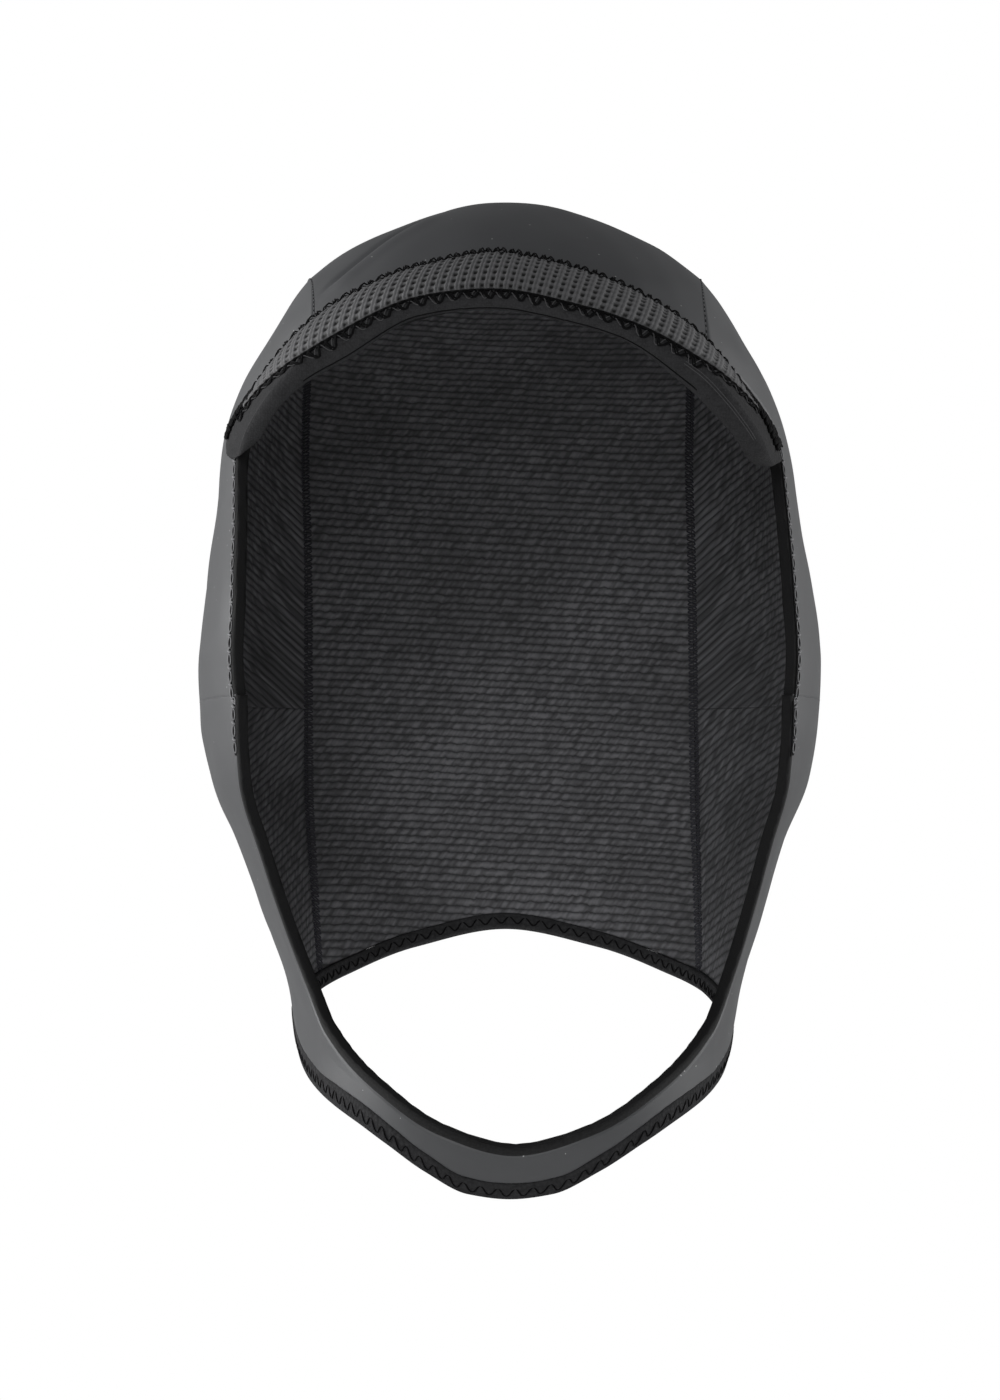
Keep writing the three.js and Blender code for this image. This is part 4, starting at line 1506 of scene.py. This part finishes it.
def build_softboxes():
    """Large soft lights that face the hood and that the camera doesn't see"""
    for name, (place, size, watts) in SOFTBOXES.items():
        light = bpy.data.lights.new(name, "AREA")
        light.shape = "RECTANGLE"
        light.size, light.size_y = size
        light.energy = watts
        lamp = add_object(name, light)
        lamp.location = place
        lamp.rotation_euler = (Vector(AIM) - Vector(place)).to_track_quat("-Z", "Y").to_euler()
        lamp.visible_camera = False


def build_camera():
    lens = bpy.data.cameras.new("camera")
    lens.sensor_width = SENSOR
    lens.lens = SENSOR * CAMERA_DISTANCE / FRAME_HEIGHT
    camera = add_object("camera", lens)
    turn = math.radians(CAMERA_AZIMUTH)
    camera.location = (
        AIM[0] + CAMERA_DISTANCE * math.sin(turn),
        AIM[1] - CAMERA_DISTANCE * math.cos(turn),
        AIM[2],
    )
    camera.rotation_euler = (math.pi / 2, 0, turn)
    bpy.context.scene.camera = camera


def build_stage(colours):
    build_floor(colours.floor)
    build_room()
    build_softboxes()
    build_camera()
    bpy.context.scene.view_settings.view_transform = "Standard"


# Operators and panel

class HOOD_OT_crown(bpy.types.Operator):
    """Build the crown panel"""

    bl_idname = "hood.crown"
    bl_label = "Crown"

    def execute(self, context):
        build_crown(context.scene.hood_sizes)
        return {"FINISHED"}


class HOOD_OT_sides(bpy.types.Operator):
    """Build both side panels"""

    bl_idname = "hood.sides"
    bl_label = "Side panels"

    def execute(self, context):
        build_sides(context.scene.hood_sizes)
        return {"FINISHED"}


class HOOD_OT_strap(bpy.types.Operator):
    """Build the chin strap with its jaw panels"""

    bl_idname = "hood.strap"
    bl_label = "Chin strap"

    def execute(self, context):
        build_strap(context.scene.hood_sizes)
        return {"FINISHED"}


class HOOD_OT_hem(bpy.types.Operator):
    """Build the neck binding with its stitches"""

    bl_idname = "hood.hem"
    bl_label = "Neck binding"

    def execute(self, context):
        build_hem(context.scene.hood_sizes)
        build_hem_stitches(context.scene.hood_sizes)
        return {"FINISHED"}


class HOOD_OT_peak(bpy.types.Operator):
    """Build the padded bill, its ribbed webbing and its stitches"""

    bl_idname = "hood.peak"
    bl_label = "Peak"

    def execute(self, context):
        build_bill(context.scene.hood_sizes)
        build_band(context.scene.hood_sizes)
        build_bill_stitches(context.scene.hood_sizes)
        return {"FINISHED"}


class HOOD_OT_seams(bpy.types.Operator):
    """Build the seams and the stitches along the face edge"""

    bl_idname = "hood.seams"
    bl_label = "Seams"

    def execute(self, context):
        build_seam_glue(context.scene.hood_sizes)
        build_crown_stitches(context.scene.hood_sizes)
        build_lining_seams(context.scene.hood_sizes)
        build_edge_stitches(context.scene.hood_sizes)
        return {"FINISHED"}


class HOOD_OT_stage(bpy.types.Operator):
    """Build the floor, the lights and the camera"""

    bl_idname = "hood.stage"
    bl_label = "Stage"

    def execute(self, context):
        build_stage(context.scene.hood_colours)
        return {"FINISHED"}


OPERATORS = (
    HOOD_OT_stage,
    HOOD_OT_crown,
    HOOD_OT_sides,
    HOOD_OT_strap,
    HOOD_OT_hem,
    HOOD_OT_peak,
    HOOD_OT_seams,
)


class HOOD_PT_sidebar(bpy.types.Panel):
    """Lists the hood's pieces"""

    bl_label = "Hood"
    bl_idname = "HOOD_PT_sidebar"
    bl_space_type = "VIEW_3D"
    bl_region_type = "UI"
    bl_category = "Hood"

    def draw(self, context):
        for operator in OPERATORS:
            self.layout.operator(operator.bl_idname)


CLASSES = (HoodSizes, HoodColours, *OPERATORS, HOOD_PT_sidebar)


def register():
    for each in CLASSES:
        bpy.utils.register_class(each)
    bpy.types.Scene.hood_sizes = PointerProperty(type=HoodSizes)
    bpy.types.Scene.hood_colours = PointerProperty(type=HoodColours)


def unregister():
    del bpy.types.Scene.hood_colours
    del bpy.types.Scene.hood_sizes
    for each in reversed(CLASSES):
        bpy.utils.unregister_class(each)


def main():
    register()
    for operator in OPERATORS:
        getattr(bpy.ops.hood, operator.bl_idname.split(".")[1])()


if __name__ == "__main__":
    main()
